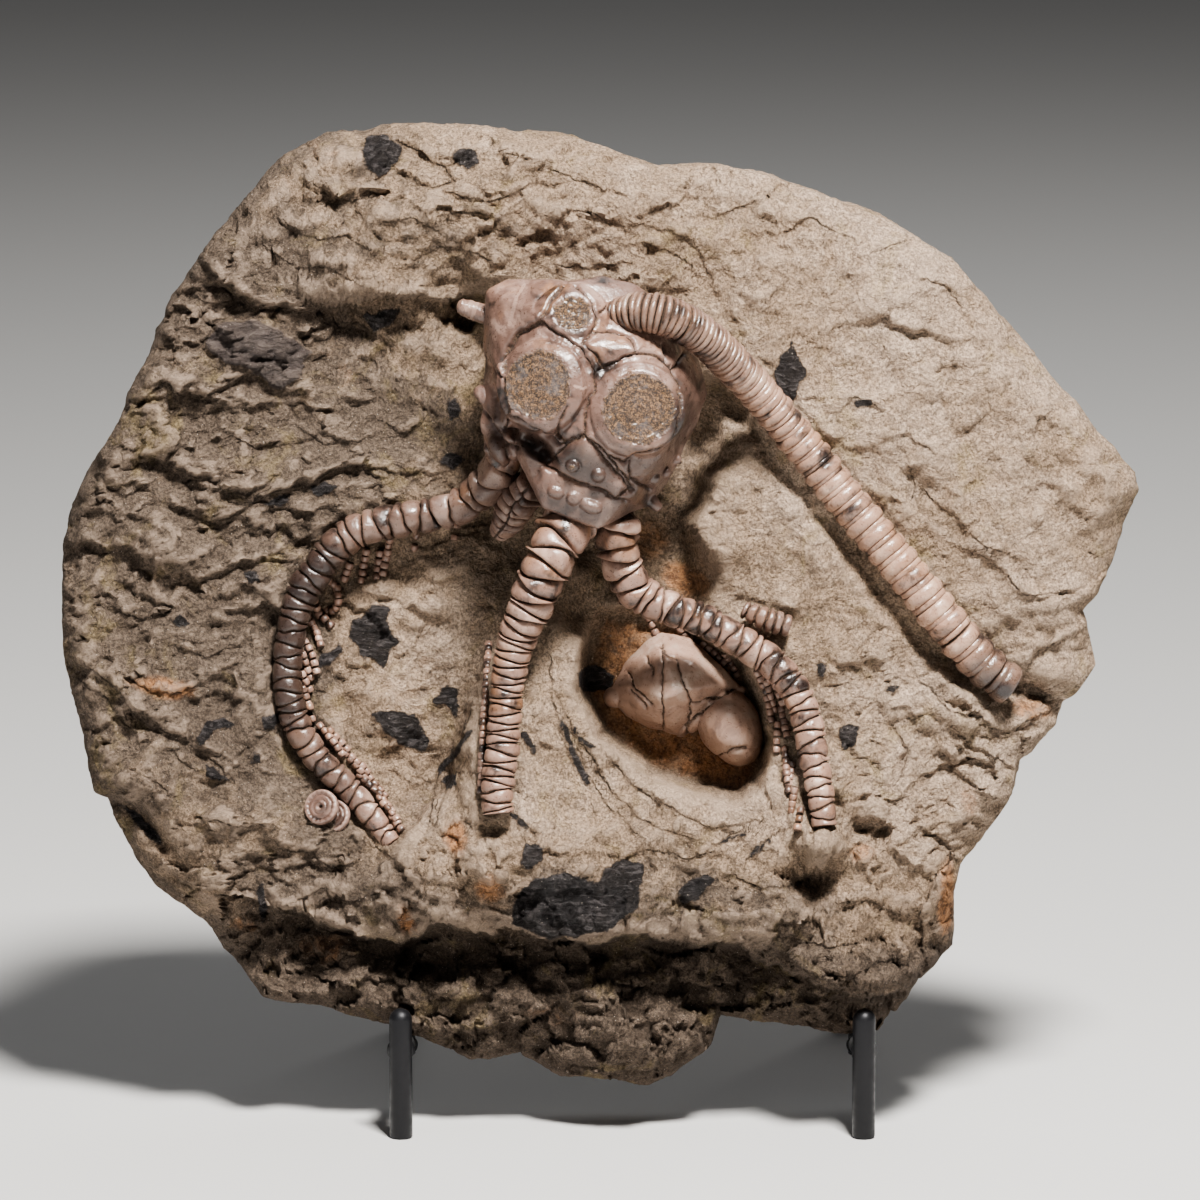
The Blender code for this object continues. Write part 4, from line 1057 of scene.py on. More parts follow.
# Cavities, and knobs with a depth below 0: (u, v, half width, half height, turn in degrees, depth)
CAVITIES: Places = [
    (54.8, -45.6, 4.6, 2.0, -8, 3.0), (55.4, -54.6, 1.1, 1.2, 0, 1.6), (62.4, -44.4, 1.3, 0.8, 10, 1.2),
    (88, -19, 3.4, 2.2, -20, 3), (-26.4, 57.6, 4.8, 3.4, 10, 6), (40.8, -56.4, 4.8, 1.8, -10, 3.4),
    (43.2, -45.4, 5.6, 6.6, 0, -3.4), (44.2, -48.8, 4.2, 4.8, 0, -5.4), (52.4, -50.4, 2.6, 2.4, 0, -1.6),
    (-23, -53, 5.0, 6.0, 0, -1.8),
]

# Rust stains: (u, v, half width, half height, turn, strength)
RUST: Places = [
    (-87.6, -17.6, 8, 3.0, -8, 0.9), (-29, -47.4, 3.4, 4.8, 10, 1.0), (-22, -57.4, 4.2, 3.8, 0, 0.9),
    (-39, -64, 2.4, 4.8, 20, 0.8), (17, 4, 7, 4.4, -30, 0.9), (10, 12, 6, 6, 0, 0.7),
    (69.6, -60, 2.6, 11, 0, 0.9),
    (87, -22, 6.6, 3, -10, 0.8), (52.2, -50.4, 3.8, 2.6, 0, 0.7), (-44, -11, 3, 2.4, 0, 0.25),
    (-56, -70, 9, 5, 0, 0.45),
    (-10, -84, 10, 5, 0, 0.35), (30, -6, 4, 3, 0, 0.4), (-72, -66, 5, 3, 0, 0.4), (74, -40, 3, 6, 10, 0.5),
    (-55, 90, 5, 3, 0, 0.3), (-36, -12.6, 3, 1.4, 20, 0.4), (-52, 46, 6, 4, 0, 0.2),
]

# Painted light on shaded low ground, and painted shade with a share below 0: (u, v, half width, half height,
# turn, share)
TONES: Places = [(-40, -14, 22, 30, 0, 0.08), (-78, -50, 22, 18, 0, 0.10), (-41, 35, 16, 12, 0, -0.08)]

# How rugged the face is: (u, v, reach, share)
RUGGED: Places = [
    (-50, 76, 16, 0.8), (-70, 66, 12, 1.0), (-50, 64, 8, 0.9), (-80, 46, 14, 1.0), (-85, 10, 18, 1.0),
    (-65, 14, 12, 0.8),
    (-92, -22, 10, 0.6), (-70, -40, 12, 0.35), (-60, -64, 14, 1.0), (-30, -66, 14, 1.0), (10, -72, 20, 1.0),
    (-20, 82, 14, 0.7), (10, 78, 12, 0.45), (40, 74, 14, 0.4), (60, 45, 22, 0.25), (88, 20, 16, 0.3),
    (-45, 0, 16, 0.45),
    (-42, -30, 12, 0.4), (-50, 40, 14, 0.35), (-12, -20, 12, 0.15), (0, -48, 12, 0.2), (25, -54, 12, 0.35),
    (48, -20, 12, 0.4), (74, -34, 10, 1.0), (60, -60, 12, 0.6), (40, 12, 14, 0.2), (-36, -54, 10, 0.8),
    (66, -72, 8, 0.8),
    (88, -16, 8, 0.4), (43, -49, 6, 0.9),
]


def blot(points: np.ndarray, place: tuple[float, ...]) -> np.ndarray:
    """How far inside a turned ellipse each place is.

    Args:
        points: rows of (u, v).
        place: its (u, v, half width, half height, turn, ...).

    Returns:
        1 at its centre, 0 on its edge and negative outside.
    """
    u, v, wide, high, turn = place[:5]
    angle = math.radians(turn)
    du, dv = points[:, 0] - u, points[:, 1] - v
    along = (du * math.cos(angle) + dv * math.sin(angle)) / wide
    across = (-du * math.sin(angle) + dv * math.cos(angle)) / high
    return 1 - np.hypot(along, across)


def blend(points: np.ndarray, places: Places, widen: float = 1.6) -> np.ndarray:
    """A smooth field through places, each strongest within its reach.

    Args:
        points: rows of (u, v).
        places: rows of (u, v, reach, value).
        widen: how far a reach spreads.

    Returns:
        The field's value at each row.
    """
    total = np.zeros(len(points))
    weight = np.full(len(points), 1e-9)
    for u, v, reach, value in places:
        pull = np.exp(-((points[:, 0] - u) ** 2 + (points[:, 1] - v) ** 2) / (widen * reach) ** 2) + 1e-7
        total += pull * value
        weight += pull
    return total / weight


@dataclass
class Slab:
    """The siltstone slab: a grid spread over its outline and raised to the face's landforms.

    Attributes:
        axes: the slab's axes.
        grid: facets across the face.
        wall_rows: rows of facets from the face's edge to the back.
        edge_rounding: how far in from the outline the face starts to fall.
        edge_fall: how far it falls.
        back_inset: how much smaller the back is than the face.
        wall_lump: how lumpy the walls are.
        lump, lump_size: height and width of the face's lumps.
        broken_lump, broken_lump_size: the same where it is broken.
        broken_top: v under which it is broken.
        pit_floor, pit_wall: height of the pit's floor, and width of its wall.
        front_drop: how much lower the face is over the brow.
        clast_rise, slate_rise: how far the clast and the slate stand out.
        far_from_slate, far_from_crack: what the distances stop at.
        seed: which stone.
        grooves: runs of the fossils that the stone dips beside.
    """

    axes: FaceAxes
    grid: int = 288
    wall_rows: int = 12
    edge_rounding: float = 7.0
    edge_fall: float = 5.0
    back_inset: float = 1.5
    wall_lump: float = 0.9
    lump: float = 1.5
    lump_size: float = 11.0
    broken_lump: float = 3.2
    broken_lump_size: float = 9.0
    broken_top: float = -66.0
    pit_floor: float = 13.0
    pit_wall: float = 3.0
    front_drop: float = 5.5
    clast_rise: float = 1.9
    slate_rise: float = 0.55
    far_from_slate: float = -50.0
    far_from_crack: float = 9.0
    seed: int = 7
    grooves: list[Run] = field(default_factory=list)

    def outline_radius(self, angles: np.ndarray) -> np.ndarray:
        """How far the outline is from the face's centre.

        Args:
            angles: directions in the face's plane.

        Returns:
            The distance in each direction.
        """
        corners = np.array(OUTLINE)
        turns = np.arctan2(corners[:, 1], corners[:, 0])
        order = np.argsort(turns)
        return np.interp(angles, turns[order], np.hypot(*corners.T)[order], period=math.tau)

    def brokenness(self, face: np.ndarray) -> np.ndarray:
        """0 on the prepared face and 1 on the broken one under the brow."""
        return smooth_step((self.broken_top - face[:, 1]) / 6)

    def wander(self, face: np.ndarray) -> np.ndarray:
        """Small sideways shifts that make drawn lines uneven."""
        flat = np.column_stack([face, np.zeros(len(face))])
        return 0.5 * np.column_stack([layered_noise(flat, 2.4, 61), layered_noise(flat, 2.4, 67)])

    def face_height(self, face: np.ndarray) -> np.ndarray:
        """Raises the face's landforms, ledges, cracks, beds and chips.

        Args:
            face: rows of (u, v).

        Returns:
            The height over the back at each row.
        """
        flat = np.column_stack([face, np.zeros(len(face))])
        height = blend(face, [place for places in LANDFORMS.values() for place in places])
        wide = np.column_stack([layered_noise(flat, 8, self.seed + more) for more in (20, 30)])
        fine = self.wander(face)
        for _, rise, reach, line in LEDGES:
            distance, side = line_distance(face + wide + fine, line)
            height += 0.5 * rise * side * (1 - np.exp(-distance / 0.35)) * np.exp(-distance / reach)
        for _, depth, half_width, line in TROUGHS:
            distance, _ = line_distance(face + 0.4 * wide, line)
            height -= depth * np.exp(-((distance / half_width) ** 2))
        for rise, line in CREASES:
            distance, side = line_distance(face + 0.7 * fine, line)
            height += 0.75 * rise * side * (1 - np.exp(-distance / 0.3)) * np.exp(-distance / 3.2)
            height -= 0.25 * rise * np.exp(-((distance / 0.7) ** 2))
        height += self.lump * layered_noise(flat, self.lump_size, self.seed)
        broken = self.brokenness(face)
        heaps = layered_noise(flat, self.broken_lump_size, self.seed + 10, 2)
        height += broken * 0.55 * self.broken_lump * heaps
        rugged = np.maximum(blend(face, RUGGED), broken)
        height += self.beds(flat, height) * (0.05 + 0.55 * rugged) * (1 - 0.7 * broken)
        height += self.chips(flat, rugged, broken)
        height -= self.front_drop * smooth_step((-44 - face[:, 1]) / 22) * smooth_step((face[:, 1] + 80) / 10)
        depth_in = depth_inside(face + 0.5 * wide, PIT_OUTLINE)
        floor = self.pit_floor + 0.7 * layered_noise(flat, 5, self.seed + 50)
        height += (floor - height) * smooth_step(depth_in / self.pit_wall + 0.5)
        height += self.clast_rise * smooth_step((depth_inside(face + fine, CLAST) + 0.5) / 1.2)
        for place in CAVITIES:
            height -= place[5] * smooth_step(blot(face + 2.2 * fine, place) * 1.2 + 0.3)
        return height + self.slate_rise * smooth_step(self.slate_depth(face) / 0.7 + 0.5)

    def slate_depth(self, face: np.ndarray) -> np.ndarray:
        """How far inside a slate flake or streak each place is.

        Args:
            face: rows of (u, v).

        Returns:
            The depth in millimetres, negative outside.
        """
        shifted = face + 0.8 * self.wander(face)
        depths = [depth_inside(shifted, outline) for outline in SLATE]
        depths += [half_width - line_distance(shifted, line)[0] for half_width, line in STREAKS]
        return np.maximum(np.max(depths, axis=0), self.far_from_slate)

    def crack_distance(self, face: np.ndarray) -> np.ndarray:
        """How far each place is from the nearest crack or ledge.

        Args:
            face: rows of (u, v).

        Returns:
            The distance in millimetres, positive on its higher side.
        """
        shifted = face + 0.7 * self.wander(face)
        best = np.full(len(face), self.far_from_crack)
        for _, line in CREASES:
            distance, side = line_distance(shifted, line)
            best = np.where(distance < np.abs(best), distance * np.where(side == 0, 1, side), best)
        return best

    def beds(self, flat: np.ndarray, height: np.ndarray) -> np.ndarray:
        """Thin flowing ledges that follow the slope's contours, as layered siltstone weathers.

        Args:
            flat: rows of (u, v, 0).
            height: the face's height at each row.

        Returns:
            How far each row is raised.
        """
        bed = height + 0.10 * flat[:, 1] + 1.8 * layered_noise(flat, 22, self.seed + 60)
        step = bed / 1.7 + 0.5 * layered_noise(flat, 4, self.seed + 70)
        saw = step - np.floor(step)
        ledge = np.where(saw < 0.85, saw / 0.85, (1 - saw) / 0.15) - 0.5
        strength = smooth_step(0.5 + 1.6 * layered_noise(flat, 30, self.seed + 80))
        return 0.75 * ledge * (0.25 + 0.75 * strength)

    def chips(self, flat: np.ndarray, rugged: np.ndarray, broken: np.ndarray) -> np.ndarray:
        """Small broken facets, strongest on the rugged ground.

        Args:
            flat: rows of (u, v, 0).
            rugged: how rugged each row is.
            broken: how far each row is on the broken face.

        Returns:
            How far each row is raised.
        """
        warped = flat + np.column_stack([layered_noise(flat, 4, seed, 3) for seed in (81, 82, 83)])
        squat = warped * [0.72, 1.15, 1]
        small = chipped_noise(squat, 2.3, 5) * (0.10 + 0.50 * rugged + 0.25 * broken)
        middle = chipped_noise(squat, 5.2, 9) * (0.12 + 0.95 * rugged + 1.0 * broken)
        large = chipped_noise(squat, 10.5, 14) * (0.10 + 1.15 * rugged + 1.7 * broken)
        return small + middle + large

    def disc_of_square(self, x: np.ndarray, y: np.ndarray) -> tuple[np.ndarray, np.ndarray]:
        """Moves the unit square's points onto the unit disc, evenly spread.

        Args:
            x: each point's place across the square.
            y: its place up the square.

        Returns:
            The same on the disc.
        """
        wide = np.abs(x) > np.abs(y)
        safe_x, safe_y = np.where(x == 0, 1, x), np.where(y == 0, 1, y)
        radius = np.where(wide, x, y)
        turn = np.where(wide, math.pi / 4 * y / safe_x, math.pi / 2 - math.pi / 4 * x / safe_y)
        return radius * np.cos(turn), radius * np.sin(turn)

    def front(self) -> tuple[np.ndarray, np.ndarray]:
        """The face's points.

        Returns:
            Rows of (u, v, w), and how far in from the edge each is, from 0 to 1.
        """
        line = np.linspace(-1, 1, self.grid + 1)
        x, y = self.disc_of_square(*(part.ravel() for part in np.meshgrid(line, line)))
        share, angle = np.hypot(x, y), np.arctan2(y, x)
        radius = self.outline_radius(angle)
        face = np.column_stack([np.cos(angle), np.sin(angle)]) * (share * radius)[:, None]
        from_edge = np.clip((1 - share) * radius / self.edge_rounding, 0, 1)
        height = self.face_height(face) - self.edge_fall * (1 - from_edge) ** 2
        height -= self.beside_fossils(face, height)
        return self.roughen(np.column_stack([face, height]), from_edge), from_edge

    def beside_fossils(self, face: np.ndarray, height: np.ndarray) -> np.ndarray:
        """How much the stone dips beside the fossils.

        Args:
            face: rows of (u, v).
            height: the face's height at each row.

        Returns:
            The dip at each row.
        """
        dip = np.zeros(len(face))
        for run in self.grooves:
            near = run.at(np.linspace(0, run.length, 60))
            offset = face[:, None, :] - near[None, :, :2]
            distance = np.sqrt((offset**2).sum(axis=2))
            index = distance.argmin(axis=1)
            gap = distance[np.arange(len(face)), index] - near[index, 3]
            level = np.exp(-(((height - near[index, 2]) / 5) ** 2))
            dip = np.maximum(dip, 1.3 * level * np.exp(-((np.maximum(gap, 0) / 1.1) ** 2)))
        return dip

    def roughen(self, points: np.ndarray, from_edge: np.ndarray) -> np.ndarray:
        """Moves points out of the surface by small noise, so that steep walls are rough as well.

        Args:
            points: the face's rows of (u, v, w).
            from_edge: how far in from the edge each is, from 0 to 1.

        Returns:
            The moved rows.
        """
        size = self.grid + 1
        sheet = points.reshape(size, size, 3)
        normal = np.cross(np.gradient(sheet, axis=1), np.gradient(sheet, axis=0)).reshape(-1, 3)
        normal *= np.sign(normal[:, 2:3] + 1e-9)
        normal /= np.maximum(np.linalg.norm(normal, axis=1)[:, None], 1e-9)
        rugged = np.maximum(blend(points[:, :2], RUGGED), self.brokenness(points[:, :2]))
        lumps = (0.05 + 0.25 * rugged) * ridged_noise(points, 5.5, 33)
        grit = (0.18 + 0.30 * rugged) * layered_noise(points, 2.1, 41, 2)
        return points + normal * ((lumps + grit) * smooth_step(from_edge * 3))[:, None]

    def blur(self, values: np.ndarray, reach: int, times: int = 3) -> np.ndarray:
        """Smooths the face's values over neighbouring points.

        Args:
            values: one for each point of the grid.
            reach: how many points to each side are taken in.
            times: how often.

        Returns:
            The smoothed values.
        """
        size = self.grid + 1
        sheet = values.reshape(size, size)
        for _ in range(times):
            for axis in (0, 1):
                padded = np.pad(sheet, [(reach + 1, reach) if a == axis else (0, 0) for a in (0, 1)], "edge")
                total = np.cumsum(padded, axis=axis)
                high = np.take(total, np.arange(2 * reach + 1, 2 * reach + 1 + size), axis=axis)
                sheet = (high - np.take(total, np.arange(size), axis=axis)) / (2 * reach + 1)
        return sheet.ravel()

    def rim(self) -> np.ndarray:
        """Finds the face's border.

        Returns:
            The numbers of its points in order round it.
        """
        n, size = self.grid, self.grid + 1
        low = np.arange(n)
        return np.concatenate([low, low * size + n, n * size + n - low, (n - low) * size])

    def build(self, material: bpy.types.Material) -> bpy.types.Object:
        """Makes the slab.

        Args:
            material: its stone.

        Returns:
            The piece.
        """
        points, from_edge = self.front()
        rim = self.rim()
        edge = points[rim]
        angle = np.arctan2(edge[:, 1], edge[:, 0])
        out = np.column_stack([np.cos(angle), np.sin(angle), np.zeros(len(angle))])
        walls = []
        for row in range(1, self.wall_rows + 1):
            t = row / self.wall_rows
            ring = edge * [1, 1, 1 - t] - out * self.back_inset * t
            swell = math.sin(math.pi * min(t * 1.15, 1)) ** 0.6 if row < self.wall_rows else 0
            rough = self.wall_lump * (1 + layered_noise(ring, self.lump_size, self.seed + 40))
            rough += 0.35 * ridged_noise(ring, 4, 44) + 0.2 * layered_noise(ring, 1.6, 45)
            walls.append(ring + out * (rough * swell)[:, None])
        count, ring_size = len(points), len(rim)
        whole = np.vstack([points] + walls)
        faces = grid_faces(self.grid + 1, self.grid + 1, False).tolist()
        bands = [rim] + [count + ring_size * row + np.arange(ring_size) for row in range(self.wall_rows)]
        for upper, lower in zip(bands[:-1], bands[1:]):
            faces += np.column_stack([upper, lower, np.roll(lower, -1), np.roll(upper, -1)]).tolist()
        faces.append(bands[-1][::-1].tolist())
        mesh = make_mesh("slab", whole, faces, self.axes)
        self.colour(mesh, whole, from_edge)
        face_out(mesh)
        mesh.set_sharp_from_angle(angle=math.radians(75))
        return show("slab", mesh, material)

    def colour(self, mesh: bpy.types.Mesh, whole: np.ndarray, from_edge: np.ndarray) -> None:
        """Stores where the stone is slaty, cracked or rusty, its tone, and where painted shade and painted
        light go.

        Args:
            mesh: the slab's mesh.
            whole: every point's row, the face's first.
            from_edge: how far in from the edge each of the face's points is.
        """
        count, face = len(from_edge), whole[:, :2]
        front = np.arange(len(whole)) < count
        rust = 0.8 * smooth_step(depth_inside(face, PIT_OUTLINE) / 3)
        for place in RUST:
            rust = np.maximum(rust, place[5] * smooth_step(blot(face, place) + 0.25))
        height = whole[:count, 2]
        # The hollow value: painted shade in concave places, painted light on convex crests.
        hollow = np.full(len(whole), -0.1)
        near, far = self.blur(height, 2) - height, self.blur(height, 9) - height
        bowl = np.clip(0.8 * near, -0.5, 0.5) + np.clip(0.03 * far, -0.12, 0.12)
        hollow[:count] = bowl * smooth_step(from_edge * 1.6)
        broken = self.brokenness(face)
        # Painted shade: darker on the left side, over the broken face and on the low front; the noise is the
        # stone's own tone.
        tone = 0.08 * smooth_step((face[:, 0] + 10) / 60) - 0.17 * smooth_step((-22 - face[:, 0]) / 50)
        tone += 0.05 * layered_noise(whole * [1, 1, 0], 30, 91) - 0.12 * broken
        tone -= 0.14 * smooth_step((-44 - face[:, 1]) / 20) * smooth_step((face[:, 0] + 66) / 24)
        for place in TONES:
            tone += place[5] * smooth_step(blot(face, place) + 0.2)
        # Painted shade over the broken face, which faces down.
        hollow += 0.5 * broken * front
        slate = np.where(front, self.slate_depth(face), -9)
        clast = np.where(front, depth_inside(face + self.wander(face), CLAST), -9)
        crack = np.where(front, self.crack_distance(face), self.far_from_crack)
        set_values(mesh, slate=slate, clast=clast, crack=crack, rust=rust, hollow=hollow, tone=tone)


# ---- Cups ----


@dataclass(frozen=True)
class Drum:
    """A round boss on a cup, with a flat end.

    Attributes:
        base: centre of its foot.
        way: the direction it stands in.
        height: how tall it is.
        foot: radius at its foot.
        top: radius at its top.
        pore: radius of the porous facet on its top, or 0.
        shoulder: width of the slope round its top.
    """

    base: Triple
    way: Triple
    height: float
    foot: float
    top: float
    pore: float = 0.0
    shoulder: float = 0.0

    def add(self, shape: bmesh.types.BMesh) -> None:
        """Adds it to a shape in millimetres.

        Args:
            shape: the cup's shape, which is changed.
        """
        turn = Vector(self.way).normalized().to_track_quat("Z", "Y").to_matrix().to_4x4()
        edge, drop = self.top + self.shoulder, 0.7 * self.shoulder
        stages = [(0.0, self.height - drop, self.foot, edge)]
        if self.shoulder:
            stages.append((self.height - drop - 0.04, self.height, edge - 0.02, self.top))
        for low, high, wide, narrow in stages:
            place = Matrix.Translation(self.base) @ turn @ Matrix.Translation((0, 0, (low + high) / 2))
            sizes = {"radius1": wide, "radius2": narrow, "depth": high - low}
            bmesh.ops.create_cone(shape, cap_ends=True, segments=64, matrix=place, **sizes)

    def measure(self, points: np.ndarray) -> tuple[np.ndarray, np.ndarray]:
        """How the cup's points lie to the drum.

        Args:
            points: rows of (u, v, w).

        Returns:
            Each one's height over the drum's top, and its distance from the drum's axis.
        """
        way = np.array(self.way) / np.linalg.norm(self.way)
        offset = points - (np.array(self.base) + way * self.height)
        up = offset @ way
        return up, np.linalg.norm(offset - up[:, None] * way, axis=1)


@dataclass(frozen=True)
class Knob:
    """A small swelling on a cup: its centre, its radii and its turn in degrees."""

    centre: Triple
    radii: Triple
    turn: float = 0.0

    def add(self, shape: bmesh.types.BMesh) -> None:
        """Adds it to a shape in millimetres.

        Args:
            shape: the cup's shape, which is changed.
        """
        place = Matrix.Translation(self.centre) @ Matrix.Rotation(math.radians(self.turn), 4, "Z")
        size = Matrix.Diagonal(self.radii).to_4x4()
        bmesh.ops.create_uvsphere(shape, u_segments=20, v_segments=12, radius=1, matrix=place @ size)


@dataclass
class PlatedCup:
    """A cup made of plates: solids grown together, with seams, facets and hollows cut in its face.

    Attributes:
        name: the piece's name.
        node: the solid that it replaces.
        axes: the slab's axes.
        corner_sets: corners of each body of plates.
        drums: its bosses.
        knobs: its small swellings.
        seams: lines between plates, as (rise to the left, line).
        scratches: pale lines.
        hollows: (u, v, half width, half height, turn, depth) dents.
        stains: (u, v, half width, half height, turn, share) dark places, partly painted shade in recesses and
            partly the plates' own darker brown.
        voxel: width of its facets.
        rounding: how many times it is smoothed.
        puff: how far each plate swells.
        seam_depth: how deep the seams are.
    """

    name: str
    node: str
    axes: FaceAxes
    corner_sets: list[Places]
    drums: list[Drum] = field(default_factory=list)
    knobs: list[Knob] = field(default_factory=list)
    seams: list[tuple[float, Places]] = field(default_factory=list)
    scratches: list[Places] = field(default_factory=list)
    hollows: Places = field(default_factory=list)
    stains: Places = field(default_factory=list)
    voxel: float = 0.32
    rounding: int = 7
    puff: float = 0.8
    seam_depth: float = 0.6

    def body(self) -> bpy.types.Mesh:
        """Puts the cup's solids into one mesh.

        Returns:
            The mesh, in millimetres.
        """
        shape = bmesh.new()
        for corners in self.corner_sets:
            before = set(shape.verts)
            vertices = [shape.verts.new(corner) for corner in corners]
            made = bmesh.ops.convex_hull(shape, input=vertices)
            unused = made["geom_interior"] + made["geom_unused"]
            spare = [item for item in unused if isinstance(item, bmesh.types.BMVert)]
            bmesh.ops.delete(shape, geom=list(set(spare)), context="VERTS")
            fresh = [face for face in shape.faces if not before.intersection(face.verts)]
            bmesh.ops.recalc_face_normals(shape, faces=fresh)
        for part in [*self.drums, *self.knobs]:
            part.add(shape)
        mesh = bpy.data.meshes.new(self.name)
        shape.to_mesh(mesh)
        shape.free()
        return mesh

    def build(self, material: bpy.types.Material) -> bpy.types.Object:
        """Makes the cup.

        Args:
            material: its calcite.

        Returns:
            The piece.
        """
        obj = show(self.name, self.body(), material)
        remesh = obj.modifiers.new("grow_together", "REMESH")
        remesh.mode = "VOXEL"
        remesh.voxel_size = self.voxel
        soften = obj.modifiers.new("soften", "SMOOTH")
        soften.iterations = self.rounding
        settle(obj)
        mesh = obj.data
        self.carve(mesh)
        write_points(mesh, self.axes.to_frame(read_points(mesh)))
        face_out(mesh)
        mesh.materials.clear()
        mesh.materials.append(material)
        return obj

    def carve(self, mesh: bpy.types.Mesh) -> None:
        """Cuts the seams, facets and hollows, and swells the plates between.

        Args:
            mesh: the cup's mesh in millimetres, which is changed.
        """
        points, normals = read_points(mesh), read_normals(mesh)
        front = smooth_step(normals[:, 2] / 0.25 + 0.5)
        wander = 0.30 * np.column_stack([layered_noise(points, 2.2, seed, 3) for seed in (5, 6)])
        face = points[:, :2] + wander
        seam = np.full(len(points), 99.0)
        step = np.zeros(len(points))
        for rise, line in self.seams:
            distance, side = line_distance(face, line)
            seam = np.minimum(seam, distance)
            step += 0.5 * rise * side * (1 - np.exp(-distance / 0.2)) * np.exp(-distance / 2.2)
        pore, on_drum, rings = self.facets(points)
        puff = self.puff * (1 - np.exp(-seam / 1.8)) * (1 - on_drum)
        groove = self.seam_depth * np.exp(-((seam / 0.30) ** 2))
        waves = 0.15 * layered_noise(points, 4.0, 12, 3)
        move = (puff + step - groove) * front + waves + rings
        points = points + normals * move[:, None]
        for place in self.hollows:
            points[:, 2] -= place[5] * smooth_step(blot(points[:, :2], place) + 0.35) * front
        scratch = np.full(len(points), 9.0)
        for line in self.scratches:
            scratch = np.minimum(scratch, line_distance(face, line)[0])
        # Painted shade: darker the lower a point lies towards the stone; the stains add painted shade and
        # darker brown.
        grime = 0.75 * smooth_step((41 - points[:, 2]) / 16)
        for place in self.stains:
            grime = np.maximum(grime, place[5] * smooth_step(blot(points[:, :2], place) + 0.3))
        tone = 0.45 * value_noise(points, 9, 3) + 1.6 * np.exp(-((scratch / 0.22) ** 2))
        set_values(mesh, seam=np.clip(1 - seam / 0.8, -2, 1) * front, pore=pore, grime=grime, tone=tone)
        write_points(mesh, points)

    def facets(self, points: np.ndarray) -> tuple[np.ndarray, np.ndarray, np.ndarray]:
        """The drums' tops: a sunk, ringed facet.

        Args:
            points: the cup's rows.

        Returns:
            How far inside a facet each point is, how much it is on a drum, and how far it moves out.
        """
        pore = np.full(len(points), NO_PORE)
        on_drum, move = np.zeros(len(points)), np.zeros(len(points))
        for drum in self.drums:
            if not drum.pore:
                continue
            up, across = drum.measure(points)
            near = np.exp(-((up / 1.6) ** 2))
            inside_by = np.where(up > -2.2, drum.pore - across + 0.5 * value_noise(points, 3, 19), NO_PORE)
            pore = np.maximum(pore, inside_by)
            growth = 0.06 * np.cos(across * 5.2 + 2.0 * value_noise(points, 4, 22))
            growth += 0.20 * layered_noise(points, 0.7, 17, 2) + 0.16 * value_noise(points, 2.6, 18)
            sunk = 0.048 * drum.pore * smooth_step(inside_by / 1.2)
            move += near * (smooth_step(inside_by / 0.8) * growth - sunk)
            wide = drum.top + drum.shoulder + 1.0
            above = smooth_step((up + drum.height) / 3)
            on_drum = np.maximum(on_drum, smooth_step((wide - across) / 1.5) * above)
        return pore, on_drum, move


CUP_CORNERS: Places = [
    (-7, 62.4, 49), (-11.2, 55.4, 55), (-18.6, 48.4, 49), (-19.4, 43.4, 48), (-4.8, 50, 57), (-2.4, 38.2, 57),
    (-3, 32.4, 56.4), (6.8, 48.6, 56), (12.2, 47.8, 53), (15.6, 43, 50), (16, 38, 49), (12.6, 29.8, 51),
    (6.4, 27.4, 55), (-8.6, 30, 53), (-10.8, 26, 51), (5.2, 19.8, 49), (-11, 18.6, 48.6), (-0.4, 14.6, 48),
    (-22, 61, 43), (-18.6, 62.8, 43), (0.6, 63.4, 45), (6.8, 62, 45), (12.4, 58, 43), (19.2, 47.6, 39),
    (20.6, 41, 38), (18.6, 35, 38), (15, 27.6, 40), (10.4, 19.6, 40), (-22.6, 42, 38), (-21.4, 52.8, 41),
    (-19, 36, 40), (-19, 60, 24), (5, 60, 22), (16, 46, 20), (13, 28, 22), (2, 17, 28), (-8, 20, 30),
    (-20, 44, 22), (-14, 30, 22), (0, 40, 17),
]
CUP_LOBE_CORNERS: Places = [
    (-20.8, 46.4, 42), (-19.2, 44, 45), (-18.6, 35.4, 46), (-17.2, 31.2, 44), (-18.8, 27.6, 41),
    (-20.4, 25.8, 38),
    (-23.2, 29.8, 38), (-23.6, 36.2, 39), (-22.8, 41.2, 39), (-20, 44, 24), (-20, 28, 24), (-12, 32, 46),
    (-12, 30, 26), (-10, 42, 46), (-10, 42, 26),
]
SECOND_CUP_CORNERS: Places = [
    (2.4, -19.4, 14), (2.8, -17.4, 16), (4, -21, 16.6), (5, -13, 15), (10, -8, 15), (12.4, -6.6, 14),
    (18, -8, 15), (21.4, -11.6, 17), (25.4, -14.8, 18), (29.4, -18.4, 15), (19.6, -25, 18), (17, -27.6, 15),
    (10, -25.8, 15), (5.6, -23.4, 15), (12.8, -11, 22.6), (12.8, -19.6, 25), (17, -18, 25.4),
    (8, -17.6, 21.4),
    (12.8, -25, 20), (18.6, -12.6, 23), (23, -17, 22.4), (6, -20, 9), (12, -10, 8), (24, -14, 9),
    (26, -19, 9),
    (16, -25, 9),
]


